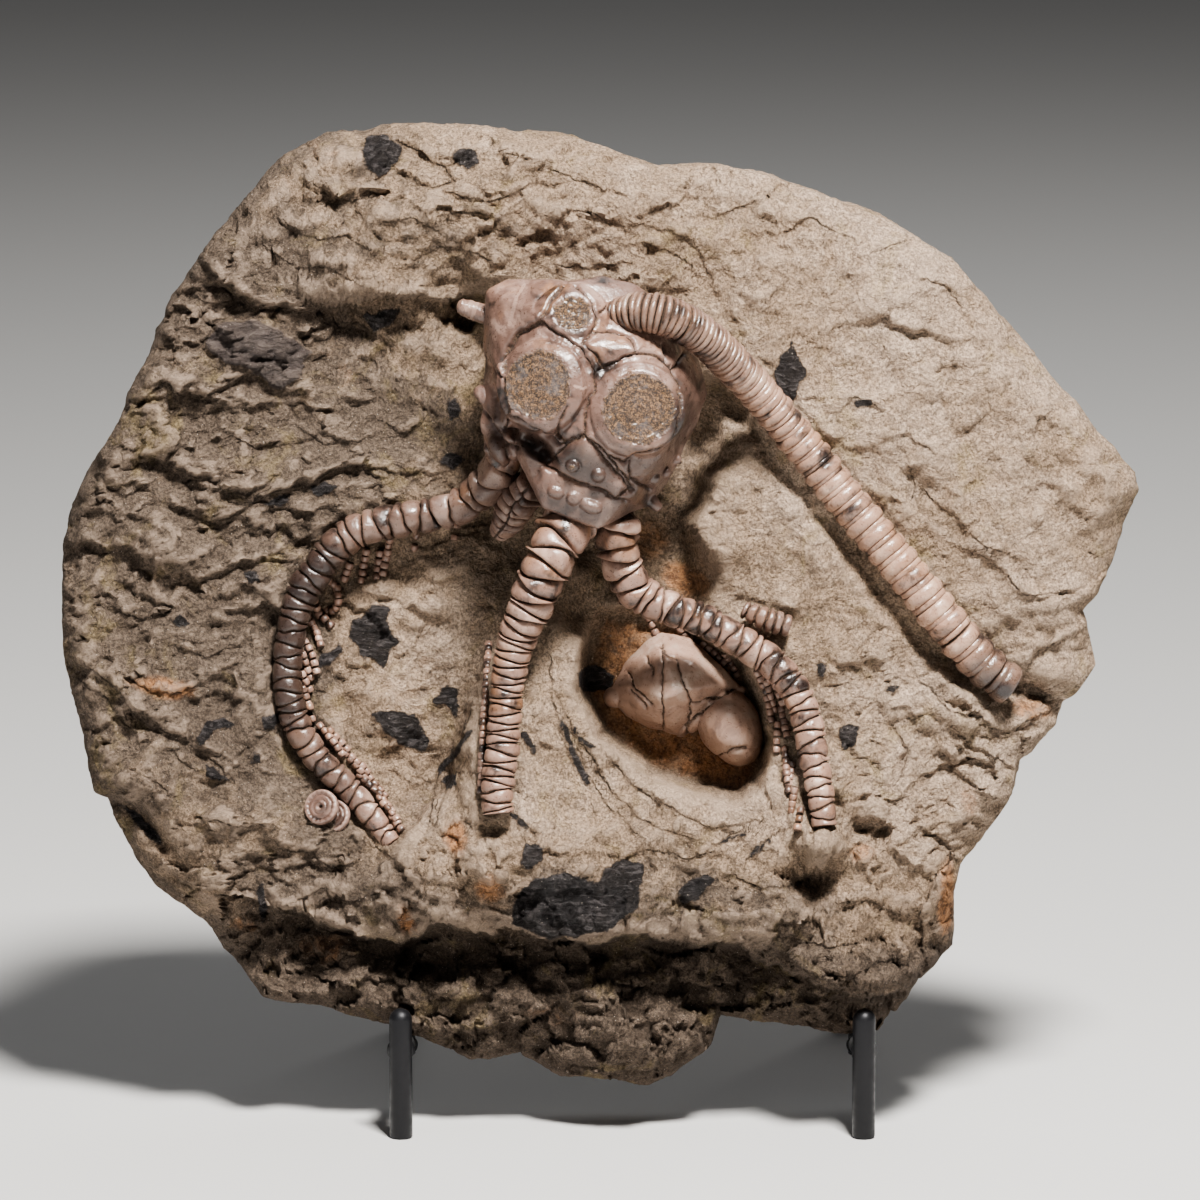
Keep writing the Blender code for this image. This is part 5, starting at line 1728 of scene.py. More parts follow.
def main_cup(axes: FaceAxes) -> PlatedCup:
    """The cup, with its three arm facets.

    Args:
        axes: the slab's axes.

    Returns:
        The cup, ready to build.
    """
    return PlatedCup(
        "cup_plates", "cup", axes, [CUP_CORNERS, CUP_LOBE_CORNERS],
        drums=[
            Drum((-8.6, 42.1, 45), (-0.29, 0.01, 0.95), 12.6, 10.6, 7.3, 7.1, 1.7),
            Drum((6.3, 37.5, 45), (0.10, 0.0, 0.99), 13.1, 10.6, 7.5, 7.3, 1.8),
            Drum((-5.6, 53.3, 45), (0.02, 0.30, 0.95), 10.5, 8.0, 4.4, 3.7, 2.6),
            Drum((-5, 27, 50), (-0.1, -0.15, 0.97), 4.4, 1.5, 1.1, 0.5),
            Drum((-5.0, 20.6, 48.6), (-0.1, -0.2, 0.96), 3.0, 1.8, 1.0, 0.5),
            Drum((13.4, 27.9, 41), (0.9, 0, 0.1), 2.4, 1.0, 0.4),
            Drum((9.2, 20.8, 41), (0.7, -0.7, 0.1), 3.6, 1.4, 0.5),
            Drum((-22, 41, 39), (-0.95, 0.1, 0.2), 2.4, 1.4, 0.6),
        ],
        knobs=[
            Knob((-0.3, 24.7, 52.9), (1.1, 1.1, 1.3)), Knob((-20.6, 35.4, 43), (0.9, 0.9, 1.1)),
            Knob((-19.8, 30.0, 41.4), (2.0, 3.0, 2.4), 25),
            Knob((10.6, 24.1, 46.4), (0.9, 0.9, 1.0)), Knob((-22.8, 40.2, 39.8), (0.9, 0.9, 0.9)),
            Knob((15.0, 31, 42), (0.6, 0.6, 0.8)), Knob((13.0, 25.4, 44.4), (0.6, 0.6, 0.8)),
            Knob((-17.6, 32.2, 44.4), (1.3, 1.5, 1.2), 30), Knob((-1.8, 18.6, 50.2), (2.0, 1.0, 1.0), -24),
            Knob((3.6, 20.4, 49.6), (1.7, 1.1, 1.0), 24), Knob((-8.6, 21.4, 50.4), (1.3, 1.0, 0.8), -20),
        ],
        seams=[
            (-0.6, [(-7, 62.6), (-9.9, 59), (-11.5, 54.8)]),
            (1.3, [(-19, 44.8), (-18.4, 48.6), (-16.6, 51.6), (-14.4, 53.5), (-11.5, 54.8)]),
            (0.5, [(-11.5, 54.8), (-8.6, 52.2), (-6.1, 51), (-4.2, 49.9)]), (0.0, [(-4.2, 49.9),
                                                                                   (-0.9, 44.9)]),
            (0.3, [(-3.5, 50.6), (-2.2, 49.7), (0.9, 45.9)]), (0.0, [(-0.9, 44.9), (0.9, 45.7)]),
            (0.0, [(-0.9, 44.9), (-1.6, 40.4), (-2.7, 37.2), (-3, 32.5)]),
            (0.7, [(0.9, 45.7), (3.5, 46.9), (6.7, 48.6)]), (-0.3, [(-3.5, 50.6), (-1.6, 52.2), (1.6, 52.6),
                                                                    (5.1, 51.9)]),
            (0.0, [(5.1, 51.9), (6.7, 50), (6.7, 48.6)]),
            (0.5, [(6.7, 48.6), (11.2, 48.1), (13.8, 46.2), (15.7, 42.3), (16.1, 38.5), (15.4, 34.6)]),
            (0.2, [(13.1, 47.1), (12.2, 50.6)]), (0.2, [(14.1, 45.5), (16.3, 48.7)]),
            (-0.6, [(15.4, 34.6), (14.4, 31.4), (12.2, 29.8), (8, 28.9), (4.6, 27.2), (1.6, 28.6),
                    (-3, 32.5)]),
            (0.0, [(-6.4, 37.8), (-7.4, 35.3), (-8.6, 32.7)]), (-0.3, [(-8.6, 32.7), (-6.6, 31.1),
                                                                       (-3, 32.5)]),
            (0.7, [(-18.8, 40), (-17.6, 36.5), (-14.4, 34.3), (-9.6, 32.3), (-8, 30.7), (-6.6, 31.1)]),
            (0.3, [(-3, 32.1), (-6.1, 30.8), (-9.9, 27.6), (-10.8, 26.4)]),
            (0.6, [(-10.8, 26.4), (-6.1, 24.1), (-1.6, 22.2), (3.2, 20.2), (5.4, 19.6)]),
            (0.0, [(-3, 32.4), (-0.3, 29.2), (2.6, 25.7), (6.1, 21.8)]), (0.0, [(1.6, 28.4), (3.5, 25.8),
                                                                                (6.7, 22.2)]),
            (0.0, [(5.8, 27.2), (5.8, 23.1)]), (0.2, [(6.1, 24), (9.6, 22)]), (0.0, [(3.2, 20.4),
                                                                                     (6.6, 22.6)]),
            (0.5, [(-21, 46.4), (-19.2, 43.6), (-18.2, 36.6), (-19, 34)]),
            (0.5, [(-22.6, 37.6), (-21, 34.2), (-18.8, 31.4), (-17.9, 27.6)]), (0.4, [(-23.6, 32.6),
                                                                                      (-22, 28.6),
                                                                                      (-20, 26)]),
            (0.0, [(-19.2, 34), (-16.6, 33.6)]), (0.0, [(-18.8, 31), (-16.4, 30.4)]),
            (0.0, [(-4.7, 61.9), (-1.9, 59.2), (-0.6, 55.6), (-1.2, 52.4)]), (0.3, [(0.2, 56.8),
                                                                                    (1.8, 57.6)]),
        ],
        scratches=[[(-14.9, 62), (-16.2, 58.6), (-17.4, 54.6)], [(-4.8, 41.8), (-3.2, 41.6)]],
        hollows=[
            (-15.2, 32.4, 3.2, 1.5, -30, 2.2), (-12.2, 30.0, 3.2, 1.9, -35, 3.2),
            (-10.2, 27.6, 2.4, 1.5, -45, 2.2),
        ],
        # Dark places: painted shade in the hollows by the lobe, down the right side and over the lower half,
        # and the lower plates' own brown.
        stains=[
            (-13, 30.4, 6.0, 2.6, -32, 0.95), (16.2, 36, 4, 10, 0, 0.75), (4, 29, 6, 3, 0, 0.35),
            (-3, 26.2, 8, 4.6, -30, 0.85), (9, 24, 6, 6, 0, 0.6), (-20.5, 33, 2.5, 9, 0, 0.6),
            (0, 19, 14, 5, 0, 0.6),
        ],
    )


def second_cup(axes: FaceAxes) -> PlatedCup:
    """The smaller cup in the pit.

    Args:
        axes: the slab's axes.

    Returns:
        The cup, ready to build.
    """
    return PlatedCup(
        "second_cup_plates", "second_cup", axes, [SECOND_CUP_CORNERS],
        knobs=[
            Knob((26.2, -25.4, 15.4), (5.9, 8.4, 8.0), 25), Knob((2.8, -19.6, 15), (1.8, 1.8, 2.0)),
            Knob((28.4, -31.2, 17.4), (2.0, 1.2, 1.6)),
        ],
        seams=[
            (0.2, [(12.6, -9), (12.4, -16), (12.6, -26.6)]), (0.0, [(11.9, -9.4), (15.5, -11.8)]),
            (0.3, [(15.5, -11.8), (16.4, -16), (18.5, -20.8), (18.2, -24), (17.6, -27.6)]),
            (0.3, [(18.5, -20.8), (22, -20), (26.3, -18.2)]), (-0.8, [(17.6, -25.4), (20.6, -22.6),
                                                                      (24, -19.6), (27.4, -17.8)]),
            (0.0, [(5.6, -14.6), (7, -17.6), (10.6, -21)]), (0.0, [(6.2, -18), (9.4, -21.4)]),
            (0.0, [(9.4, -11.4), (10.6, -14.6)]), (0.4, [(23.6, -31.4), (27.2, -30), (29.4, -29.6)]),
        ],
        stains=[(28, -29, 4, 5, 0, 0.3)],
        voxel=0.26, puff=0.5, seam_depth=0.42,
    )


# ---- Arms, stem and small fossils ----

COLUMN = Run([
    (3, 56, 49, 3.2), (7, 56.8, 52, 3.9), (12, 56.2, 53, 4.15), (16.5, 54.4, 51, 4.1), (21, 51.6, 47.5, 4.0),
    (26, 47, 42, 4.0), (31, 42, 37, 3.9), (40, 31.4, 32, 3.9), (50, 19, 30.5, 4.0), (60, 7, 30, 4.1),
    (70, -5.4, 29, 4.2), (77, -13, 27.5, 4.2), (82, -17, 26.5, 4.0),
])
LEFT_ARM = Run([
    (-18.6, 30.4, 36.4, 3.1), (-20.5, 25.6, 32.4, 3.5), (-24, 21.6, 28, 3.5), (-30, 18.2, 25.5, 3.4),
    (-40, 16, 24, 3.3), (-50, 13.2, 23.5, 3.3), (-56.4, 6.5, 23, 3.3), (-60.4, 0, 22.5, 3.1),
    (-62.6, -10, 22, 2.8), (-62.4, -20, 22, 2.8), (-58.2, -30, 22, 2.7), (-48.4, -40.2, 21.5, 2.4),
    (-41.8, -49, 22.5, 1.9),
])
CENTRE_ARM = Run([
    (-3.4, 20.6, 38.6, 4.2), (-5.2, 17, 40.6, 4.8), (-7.2, 13.4, 43.4, 5.0), (-9.6, 8.6, 44.4, 4.6),
    (-13.4, 0, 42.2, 4.2), (-17, -9.4, 38.6, 3.6), (-18.6, -19, 37, 3.2), (-19.4, -29, 37, 3.2),
    (-20.4, -38, 37.4, 3.2),
    (-20.2, -42.6, 37.6, 3.0),
])
RIGHT_ARM = Run([
    (4.0, 17, 42, 3.8), (3.8, 12, 39.5, 3.9), (4.8, 6.6, 37, 3.9), (8.0, 1.2, 35, 3.6), (14, -1.8, 34, 3.2),
    (20.4, -4.0, 33.5, 3.1), (30.2, -9.6, 33, 3.1), (36.8, -15, 33, 3.0), (40.6, -21.6, 33, 2.9),
    (42.6, -31, 33.4, 2.9),
    (44.2, -40, 34.4, 2.6), (44.8, -45.2, 35, 2.4),
])
ARM_STUB = Run([
    (-12.6, 23.6, 36, 3.6), (-16.4, 19.6, 31, 3.7), (-18.6, 16, 27.5, 3.0), (-20.4, 13.4, 24.5, 1.8),
])
SPINE = Run([(-17, 54.8, 40, 2.3), (-22, 56.4, 39.4, 2.1), (-26, 57.8, 39, 1.8), (-28.4, 58.8, 38.8, 1.3)])
RIBBED = Run([(28.6, -1.8, 30.5, 1.6), (33, -3.8, 31, 2.3), (38, -5.2, 30.5, 2.0)])
LOOSE_COLUMNAL_WAY = (-0.36, 0.24, 0.9)


@dataclass
class PlatedRod:
    """A rod of stacked plates along a run, such as an arm.

    Attributes:
        name: the piece's name.
        node: the solid that it replaces.
        run: where it lies.
        axes: the slab's axes.
        first: height of its first plate.
        last: height of its last plate.
        slant: how far a plate's seam runs along the rod, as a share of a plate.
        flare: how much wider a plate is at its outer end.
        calm: how far along, from 0 to 1, the plates have settled into an even row.
        groove: how deep the seams are, as a share of the radius.
        belly: how far each plate swells, as a share of the radius.
        jitter: how uneven the plates' heights are.
        seed: which unevenness.
        sides: points round it.
        sunk_end: how far its broken end is hollowed.
        round_end: whether its end is a dome.
        split: whether a seam also runs along it.
        darker_stretches: (start, end, share) stretches where it is dark, along from 0 to 1.
        rows_in_plate: how far up a plate its rows of points are, from 0 to 1.
    """

    name: str
    node: str
    run: Run
    axes: FaceAxes
    first: float = 2.6
    last: float = 2.0
    slant: float = 0.3
    flare: float = 0.10
    calm: float = 1.0
    groove: float = 0.11
    belly: float = 0.10
    jitter: float = 0.2
    seed: int = 1
    sides: int = 48
    sunk_end: float = 0.6
    round_end: bool = False
    split: bool = False
    darker_stretches: Places = field(default_factory=list)
    rows_in_plate: tuple[float, ...] = (0.0, 0.05, 0.11, 0.20, 0.34, 0.5, 0.66, 0.80, 0.89, 0.95)

    def build(self, material: bpy.types.Material) -> bpy.types.Object:
        """Makes the rod.

        Args:
            material: its calcite.

        Returns:
            The piece.
        """
        marks = self.run.marks_of(self.first, self.last, self.calm, self.jitter, self.seed)
        random = np.random.default_rng(self.seed + 100)
        distance, share, plate, theta = self.lay_out(marks, random)
        height = np.diff(marks)
        points, seam = self.skin(distance, share, plate, theta, height, random)
        rows = len(points) // self.sides
        ends = self.run.at(np.array([0.0, self.run.length]))[:, :3]
        ends[1] -= self.run.axes(np.array([self.run.length]))[0][0] * self.sunk_end
        ring, top = np.arange(self.sides), (rows - 1) * self.sides
        faces = grid_faces(rows, self.sides, True).tolist()
        faces += [[len(points), b, a] for a, b in zip(ring, np.roll(ring, -1))]
        faces += [[len(points) + 1, top + a, top + b] for a, b in zip(ring, np.roll(ring, -1))]
        mesh = make_mesh(self.name, np.vstack([points, ends]), faces, self.axes)
        tone = random.uniform(-0.35, 0.35, len(height))[plate]
        set_values(
            mesh,
            seam=np.append(seam, [1, 0.6]) * (not self.round_end),
            pore=np.append(np.full(len(points) + 1, NO_PORE), 2),
            tone=np.append(tone, [-0.5, -0.5]),
            grime=np.append(self.grime(distance, theta), [1, 1]),
        )
        face_out(mesh)
        return show(self.name, mesh, material)

    def lay_out(self, marks: np.ndarray, random: np.random.Generator) -> tuple[np.ndarray, ...]:
        """Spreads points over the rod, in rows that follow its slanted seams.

        Args:
            marks: where each plate starts and the last one ends.
            random: the rod's own chance.

        Returns:
            Each point's distance along, share of the way up its plate, plate, and angle round the rod.
        """
        angles = np.linspace(0, math.tau, self.sides, endpoint=False)
        steps = np.array(self.rows_in_plate)
        count = len(marks) - 1
        phase = random.uniform(-0.6, 0.6, count + 1)[:, None]
        height = np.diff(marks, append=marks[-1] * 2 - marks[-2])[:, None]
        sign = np.where(np.arange(count + 1) % 2 == 0, 1, -1)[:, None]
        wavy = 0.15 * random.uniform(-1, 1, (count + 1, 1)) * np.cos(2 * angles + phase)
        wavy = wavy + 0.07 * random.uniform(-1, 1, (count + 1, 1)) * np.cos(5 * angles + 3 * phase)
        tilt = 0.5 * self.slant * sign * random.uniform(0.65, 1.15, (count + 1, 1)) * np.sin(angles + phase)
        seam = marks[:, None] + height * (tilt + wavy * min(1, 4 * self.slant))
        seam[0] = marks[0]
        for row in range(1, count + 1):
            seam[row] = np.maximum(seam[row], seam[row - 1] + 0.10 * height[row - 1])
        seam[-1] = marks[-1]
        seam = np.minimum(seam, marks[-1])
        lower, upper = seam[:-1, None, :], seam[1:, None, :]
        distance = lower + (upper - lower) * steps[None, :, None]
        share = np.broadcast_to(steps[None, :, None], distance.shape)
        plate = np.broadcast_to(np.arange(count)[:, None, None], distance.shape)
        theta = np.broadcast_to(angles[None, None, :], distance.shape)
        last = np.full(self.sides, 1.0)
        ends = (last * marks[-1], last * 0.999, last.astype(int) * (count - 1), angles)
        parts = (distance, share, plate, theta)
        return tuple(np.append(part.reshape(-1), end) for part, end in zip(parts, ends))

    def grime(self, distance: np.ndarray, theta: np.ndarray) -> np.ndarray:
        """How dark the calcite is: painted shade on the side towards the stone, and darker stretches along
        it.

        Args:
            distance: how far along each point is.
            theta: its angle round the rod.

        Returns:
            The share of dark at each point.
        """
        along = distance / self.run.length
        # Painted shade on the side that faces the stone.
        dark = 0.75 * smooth_step((0.05 - np.cos(theta)) / 0.8)
        for start, end, share in self.darker_stretches:
            within = smooth_step((along - start) / 0.08) * smooth_step((end - along) / 0.08)
            dark = np.maximum(dark, share * within)
        return dark

    def skin(
        self,
        distance: np.ndarray,
        share: np.ndarray,
        plate: np.ndarray,
        theta: np.ndarray,
        height: np.ndarray,
        random: np.random.Generator,
    ) -> tuple[np.ndarray, np.ndarray]:
        """Places the rod's surface.

        Args:
            distance: how far along each point is.
            share: how far up its plate it is, from 0 to 1.
            plate: which plate it is on.
            theta: its angle round the rod.
            height: each plate's height.
            random: the rod's own chance.

        Returns:
            Rows of (u, v, w), and how close each is to a seam: 1 on it, less the further it is.
        """
        centre = self.run.at(distance)
        _, out, across = self.run.axes(distance)
        along = distance / self.run.length
        wild = np.clip(1 - along / self.calm, 0, 1) if self.calm < 1 else np.zeros(len(distance))
        own = [random.uniform(-1, 1, len(height))[plate] for _ in range(6)]
        gap = np.minimum(share, 1 - share) * height[plate]
        if self.split:
            gap = np.minimum(gap, np.abs(np.sin(theta)) * centre[:, 3] + 9 * (np.cos(theta) < 0))
        seam = np.exp(-((gap / (0.16 + 0.12 * wild + 0.05 * np.abs(np.sin(theta)))) ** 2))
        belly = self.belly * (1 - np.abs(2 * share - 1) ** 2.6)
        flare = self.flare * (0.4 + 1.6 * wild) * (share - 0.5) * (1 + 0.6 * np.cos(theta - 3 * own[0]))
        lobes = (0.015 + 0.05 * wild) * np.cos(3 * theta + 3 * own[1])
        lobes += (0.01 + 0.03 * wild) * np.cos(5 * theta + 3 * own[2])
        shape = 0.97 + belly + flare + lobes - self.groove * (1 + 0.8 * wild) * seam
        shape += own[3] * (0.018 + 0.05 * wild)
        if self.round_end:
            rest = np.clip((1 - along) * self.run.length / centre[:, 3], 0, 1)
            shape = shape * np.sqrt(np.clip(1 - (1 - rest) ** 2, 0.002, 1))
        ring = np.cos(theta)[:, None] * out + np.sin(theta)[:, None] * across
        sideways = own[4][:, None] * out + own[5][:, None] * across
        shift = (0.02 + 0.07 * wild)[:, None] * centre[:, 3:] * sideways
        points = centre[:, :3] + shift + ring * (centre[:, 3] * shape)[:, None]
        rough = 0.10 * layered_noise(points, 1.6, self.seed + 50, 2)
        rough += 0.12 * layered_noise(points, 4.5, self.seed + 60, 1)
        crumbs = 0.22 * seam * value_noise(points, 0.7, self.seed + 70)
        return points + ring * (rough + crumbs)[:, None], 1 - gap / 0.8


class OssicleTree(NodeTree):
    """A geometry tree that sets short drums, narrower towards both of their flat ends, on points."""

    def __init__(self, name: str, inputs: list[tuple[str, str, float]]) -> None:
        """Starts a tree with its inputs, a Finish and a Geometry going in, and a Geometry coming out.

        Args:
            name: the tree's name.
            inputs: its own inputs, as (name, socket type, default).
        """
        super().__init__(bpy.data.node_groups.new(name, "GeometryNodeTree"))
        add = self.tree.interface.new_socket
        add("Geometry", in_out="INPUT", socket_type="NodeSocketGeometry")
        for title, kind, default in inputs:
            add(title, in_out="INPUT", socket_type=kind).default_value = default
        add("Finish", in_out="INPUT", socket_type="NodeSocketMaterial")
        add("Geometry", in_out="OUTPUT", socket_type="NodeSocketGeometry")
        self.entry = self.node("NodeGroupInput")

    def given(self, name: str) -> Value:
        """One of the tree's inputs."""
        return Value(self, self.entry.outputs[name])

    def held(self, name: str) -> Value:
        """A vector that the points hold under a name."""
        kind = "GeometryNodeInputNamedAttribute"
        return self.out(kind, {"Name": name}, "Attribute", data_type="FLOAT_VECTOR")

    def ossicle(self, bands: int) -> Value:
        """A drum one unit tall and one in radius, with its seams stored.

        Args:
            bands: rows of faces up its side.

        Returns:
            The mesh.
        """
        sockets = {"Vertices": self.given("Sides"), "Side Segments": bands, "Radius": 1.0, "Depth": 1.0}
        drum = self.out("GeometryNodeMeshCylinder", sockets, "Mesh", fill_type="TRIANGLE_FAN")
        split = self.node("ShaderNodeSeparateXYZ", {0: self.out("GeometryNodeInputPosition")})
        x, y, z = (Value(self, socket) for socket in split.outputs)
        double = self.maths("ABSOLUTE", z * 2.0)
        narrow = self.maths("SUBTRACT", 1.0, self.maths("POWER", double, 3.0) * self.given("Rim"))
        place = self.out("ShaderNodeCombineXYZ", {0: x * narrow, 1: y * narrow, 2: z})
        shape = self.out("GeometryNodeSetPosition", {"Geometry": drum, "Position": place})
        seam = {"Geometry": shape, "Name": "seam", "Value": self.maths("POWER", double, 14.0)}
        return self.out("GeometryNodeStoreNamedAttribute", seam)

    def place(self, points: Value, piece: Value, way: Value, size: Value) -> None:
        """Sets the piece on every point, turned and sized, makes it real and ends the tree.

        Args:
            points: where to set it.
            piece: the mesh to set.
            way: its axis at each point.
            size: its size at each point.
        """
        turn = self.out("FunctionNodeAlignRotationToVector", {"Vector": way}, axis="Z")
        rows = {"Points": points, "Instance": piece, "Rotation": turn, "Scale": size}
        shape = self.out("GeometryNodeInstanceOnPoints", rows)
        chance = self.out("FunctionNodeRandomValue", {2: -0.35, 3: 0.35, "Seed": self.given("Seed")}, 1)
        tone = {"Geometry": shape, "Name": "tone", "Value": chance}
        shape = self.out("GeometryNodeStoreNamedAttribute", tone, domain="INSTANCE")
        shape = self.out("GeometryNodeRealizeInstances", {0: shape})
        shape = self.out("GeometryNodeSetShadeSmooth", {"Geometry": shape})
        shape = self.out("GeometryNodeSetMaterial", {"Geometry": shape, "Material": self.given("Finish")})
        self.node("NodeGroupOutput", {0: shape})

    def run_on(self, name: str, mesh: bpy.types.Mesh, values: dict[str, object]) -> bpy.types.Object:
        """Runs the tree on a mesh and keeps the result as plain mesh.

        Args:
            name: the piece's name.
            mesh: what the tree starts from.
            values: its inputs, by name.

        Returns:
            The piece, with no modifier left on it.
        """
        obj = bpy.data.objects.new(name, mesh)
        bpy.context.scene.collection.objects.link(obj)
        modifier = obj.modifiers.new("tree", "NODES")
        modifier.node_group = self.tree
        for item in self.tree.interface.items_tree:
            if item.item_type == "SOCKET" and item.in_out == "INPUT" and item.name in values:
                modifier[item.identifier] = values[item.name]
        settle(obj)
        return obj


def stem_tree() -> OssicleTree:
    """Makes the stem's tree.

    Returns:
        A tree with an ossicle at every point, sized and turned by what the points hold.
    """
    inputs = [("Sides", "NodeSocketInt", 44), ("Rim", "NodeSocketFloat", 0.1), ("Seed", "NodeSocketInt", 3)]
    tree = OssicleTree("stem_ossicles", inputs)
    tree.place(tree.given("Geometry"), tree.ossicle(8), tree.held("way"), tree.held("size"))
    return tree


def branchlet_tree() -> OssicleTree:
    """Makes the branchlets' tree.

    Returns:
        A tree with small ossicles strung along every line of a mesh of edges.
    """
    inputs = [
        ("Sides", "NodeSocketInt", 12), ("Rim", "NodeSocketFloat", 0.2), ("Seed", "NodeSocketInt", 5),
        ("Spacing", "NodeSocketFloat", 1.3 * MM), ("Width", "NodeSocketFloat", 0.55 * MM),
    ]
    tree = OssicleTree("branchlet_ossicles", inputs)
    curve = tree.out("GeometryNodeMeshToCurve", {"Mesh": tree.given("Geometry")})
    width, spacing = tree.given("Width"), tree.given("Spacing")
    even = tree.out("GeometryNodeResampleCurve", {"Curve": curve, "Length": spacing}, mode="LENGTH")
    limits = {0: (0.8, 0.8, 0.92), 1: (1.15, 1.15, 1.08), "Seed": tree.given("Seed")}
    chance = tree.out("FunctionNodeRandomValue", limits, data_type="FLOAT_VECTOR")
    plain = tree.out("ShaderNodeCombineXYZ", {0: width, 1: width, 2: spacing})
    size = tree.out("ShaderNodeVectorMath", {0: chance, 1: plain}, operation="MULTIPLY")
    tree.place(even, tree.ossicle(5), tree.out("GeometryNodeInputTangent"), size)
    return tree


@dataclass
class Stem:
    """The column: ring ossicles of alternating widths, thin at the top and dark at the broken end.

    Attributes:
        axes: the slab's axes.
        first: height of its first ossicle.
        last: height of its last ossicle.
        seed: which unevenness.
    """

    axes: FaceAxes
    first: float = 1.0
    last: float = 2.2
    seed: int = 21

    def build(self, material: bpy.types.Material) -> bpy.types.Object:
        """Makes the column.

        Args:
            material: its calcite.

        Returns:
            The piece.
        """
        marks = self.heights()
        middle = (marks[:-1] + marks[1:]) / 2
        count = len(middle)
        centre = COLUMN.at(middle)
        way, _, _ = COLUMN.axes(middle)
        random = np.random.default_rng(self.seed)
        late = smooth_step((middle / COLUMN.length - 0.2) / 0.3)
        proud = np.where(np.arange(count) % 2 == 0, 1, -1) * (0.012 + 0.035 * late)
        wide = 1.0 + proud + random.uniform(-0.02, 0.02, count)
        centre[:, :3] += random.uniform(-0.07, 0.07, (count, 3))
        mesh = bpy.data.meshes.new("column_line")
        mesh.from_pydata(self.axes.to_frame(centre[:, :3]).tolist(), [], [])
        turn = np.array(self.axes.matrix)[:3, :3]
        size = np.column_stack([centre[:, 3] * wide, centre[:, 3] * wide, np.diff(marks) * 1.13]) * MM
        way = way + random.uniform(-0.03, 0.03, way.shape)
        for name, rows in (("way", way @ turn.T), ("size", size)):
            attribute = mesh.attributes.new(name, "FLOAT_VECTOR", "POINT")
            attribute.data.foreach_set("vector", rows.astype(np.float32).reshape(-1))
        values = {"Sides": 48, "Rim": 0.12, "Seed": 4, "Finish": material}
        obj = stem_tree().run_on("column_ossicles", mesh, values)
        points = read_points(obj.data)
        local = (points - np.array(self.axes.origin)) @ turn / MM
        rough = 0.05 * layered_noise(local, 1.4, 70, 2) + 0.05 * value_noise(local, 3.5, 75)
        write_points(obj.data, points + read_normals(obj.data) * (rough * MM)[:, None])
        set_values(obj.data, pore=NO_PORE, grime=self.grime(local))
        return obj

    def heights(self) -> np.ndarray:
        """Spaces the ossicles, which grow down the column and alternate there.

        Returns:
            Where each one starts, and where the last one ends.
        """
        marks = [0.0]
        while marks[-1] < COLUMN.length:
            along = marks[-1] / COLUMN.length
            uneven = 0.32 * min(1, max(0, along - 0.2) / 0.3) * (1 if len(marks) % 2 else -1)
            marks.append(marks[-1] + (self.first + (self.last - self.first) * along) * (1 + uneven))
        return np.array(marks) * COLUMN.length / marks[-1]

    def grime(self, local: np.ndarray) -> np.ndarray:
        """How dark the column is: grey over the arc and nearly black at the broken end.

        Args:
            local: rows of (u, v, w).

        Returns:
            The share of dark at each row.
        """
        from_end = np.hypot(local[:, 0] - 82, local[:, 1] + 17)
        end = smooth_step((13 - from_end) / 8) * (0.75 + 0.6 * value_noise(local, 3, 8))
        return np.maximum(end, 0.5 * smooth_step((local[:, 1] - 40) / 8))


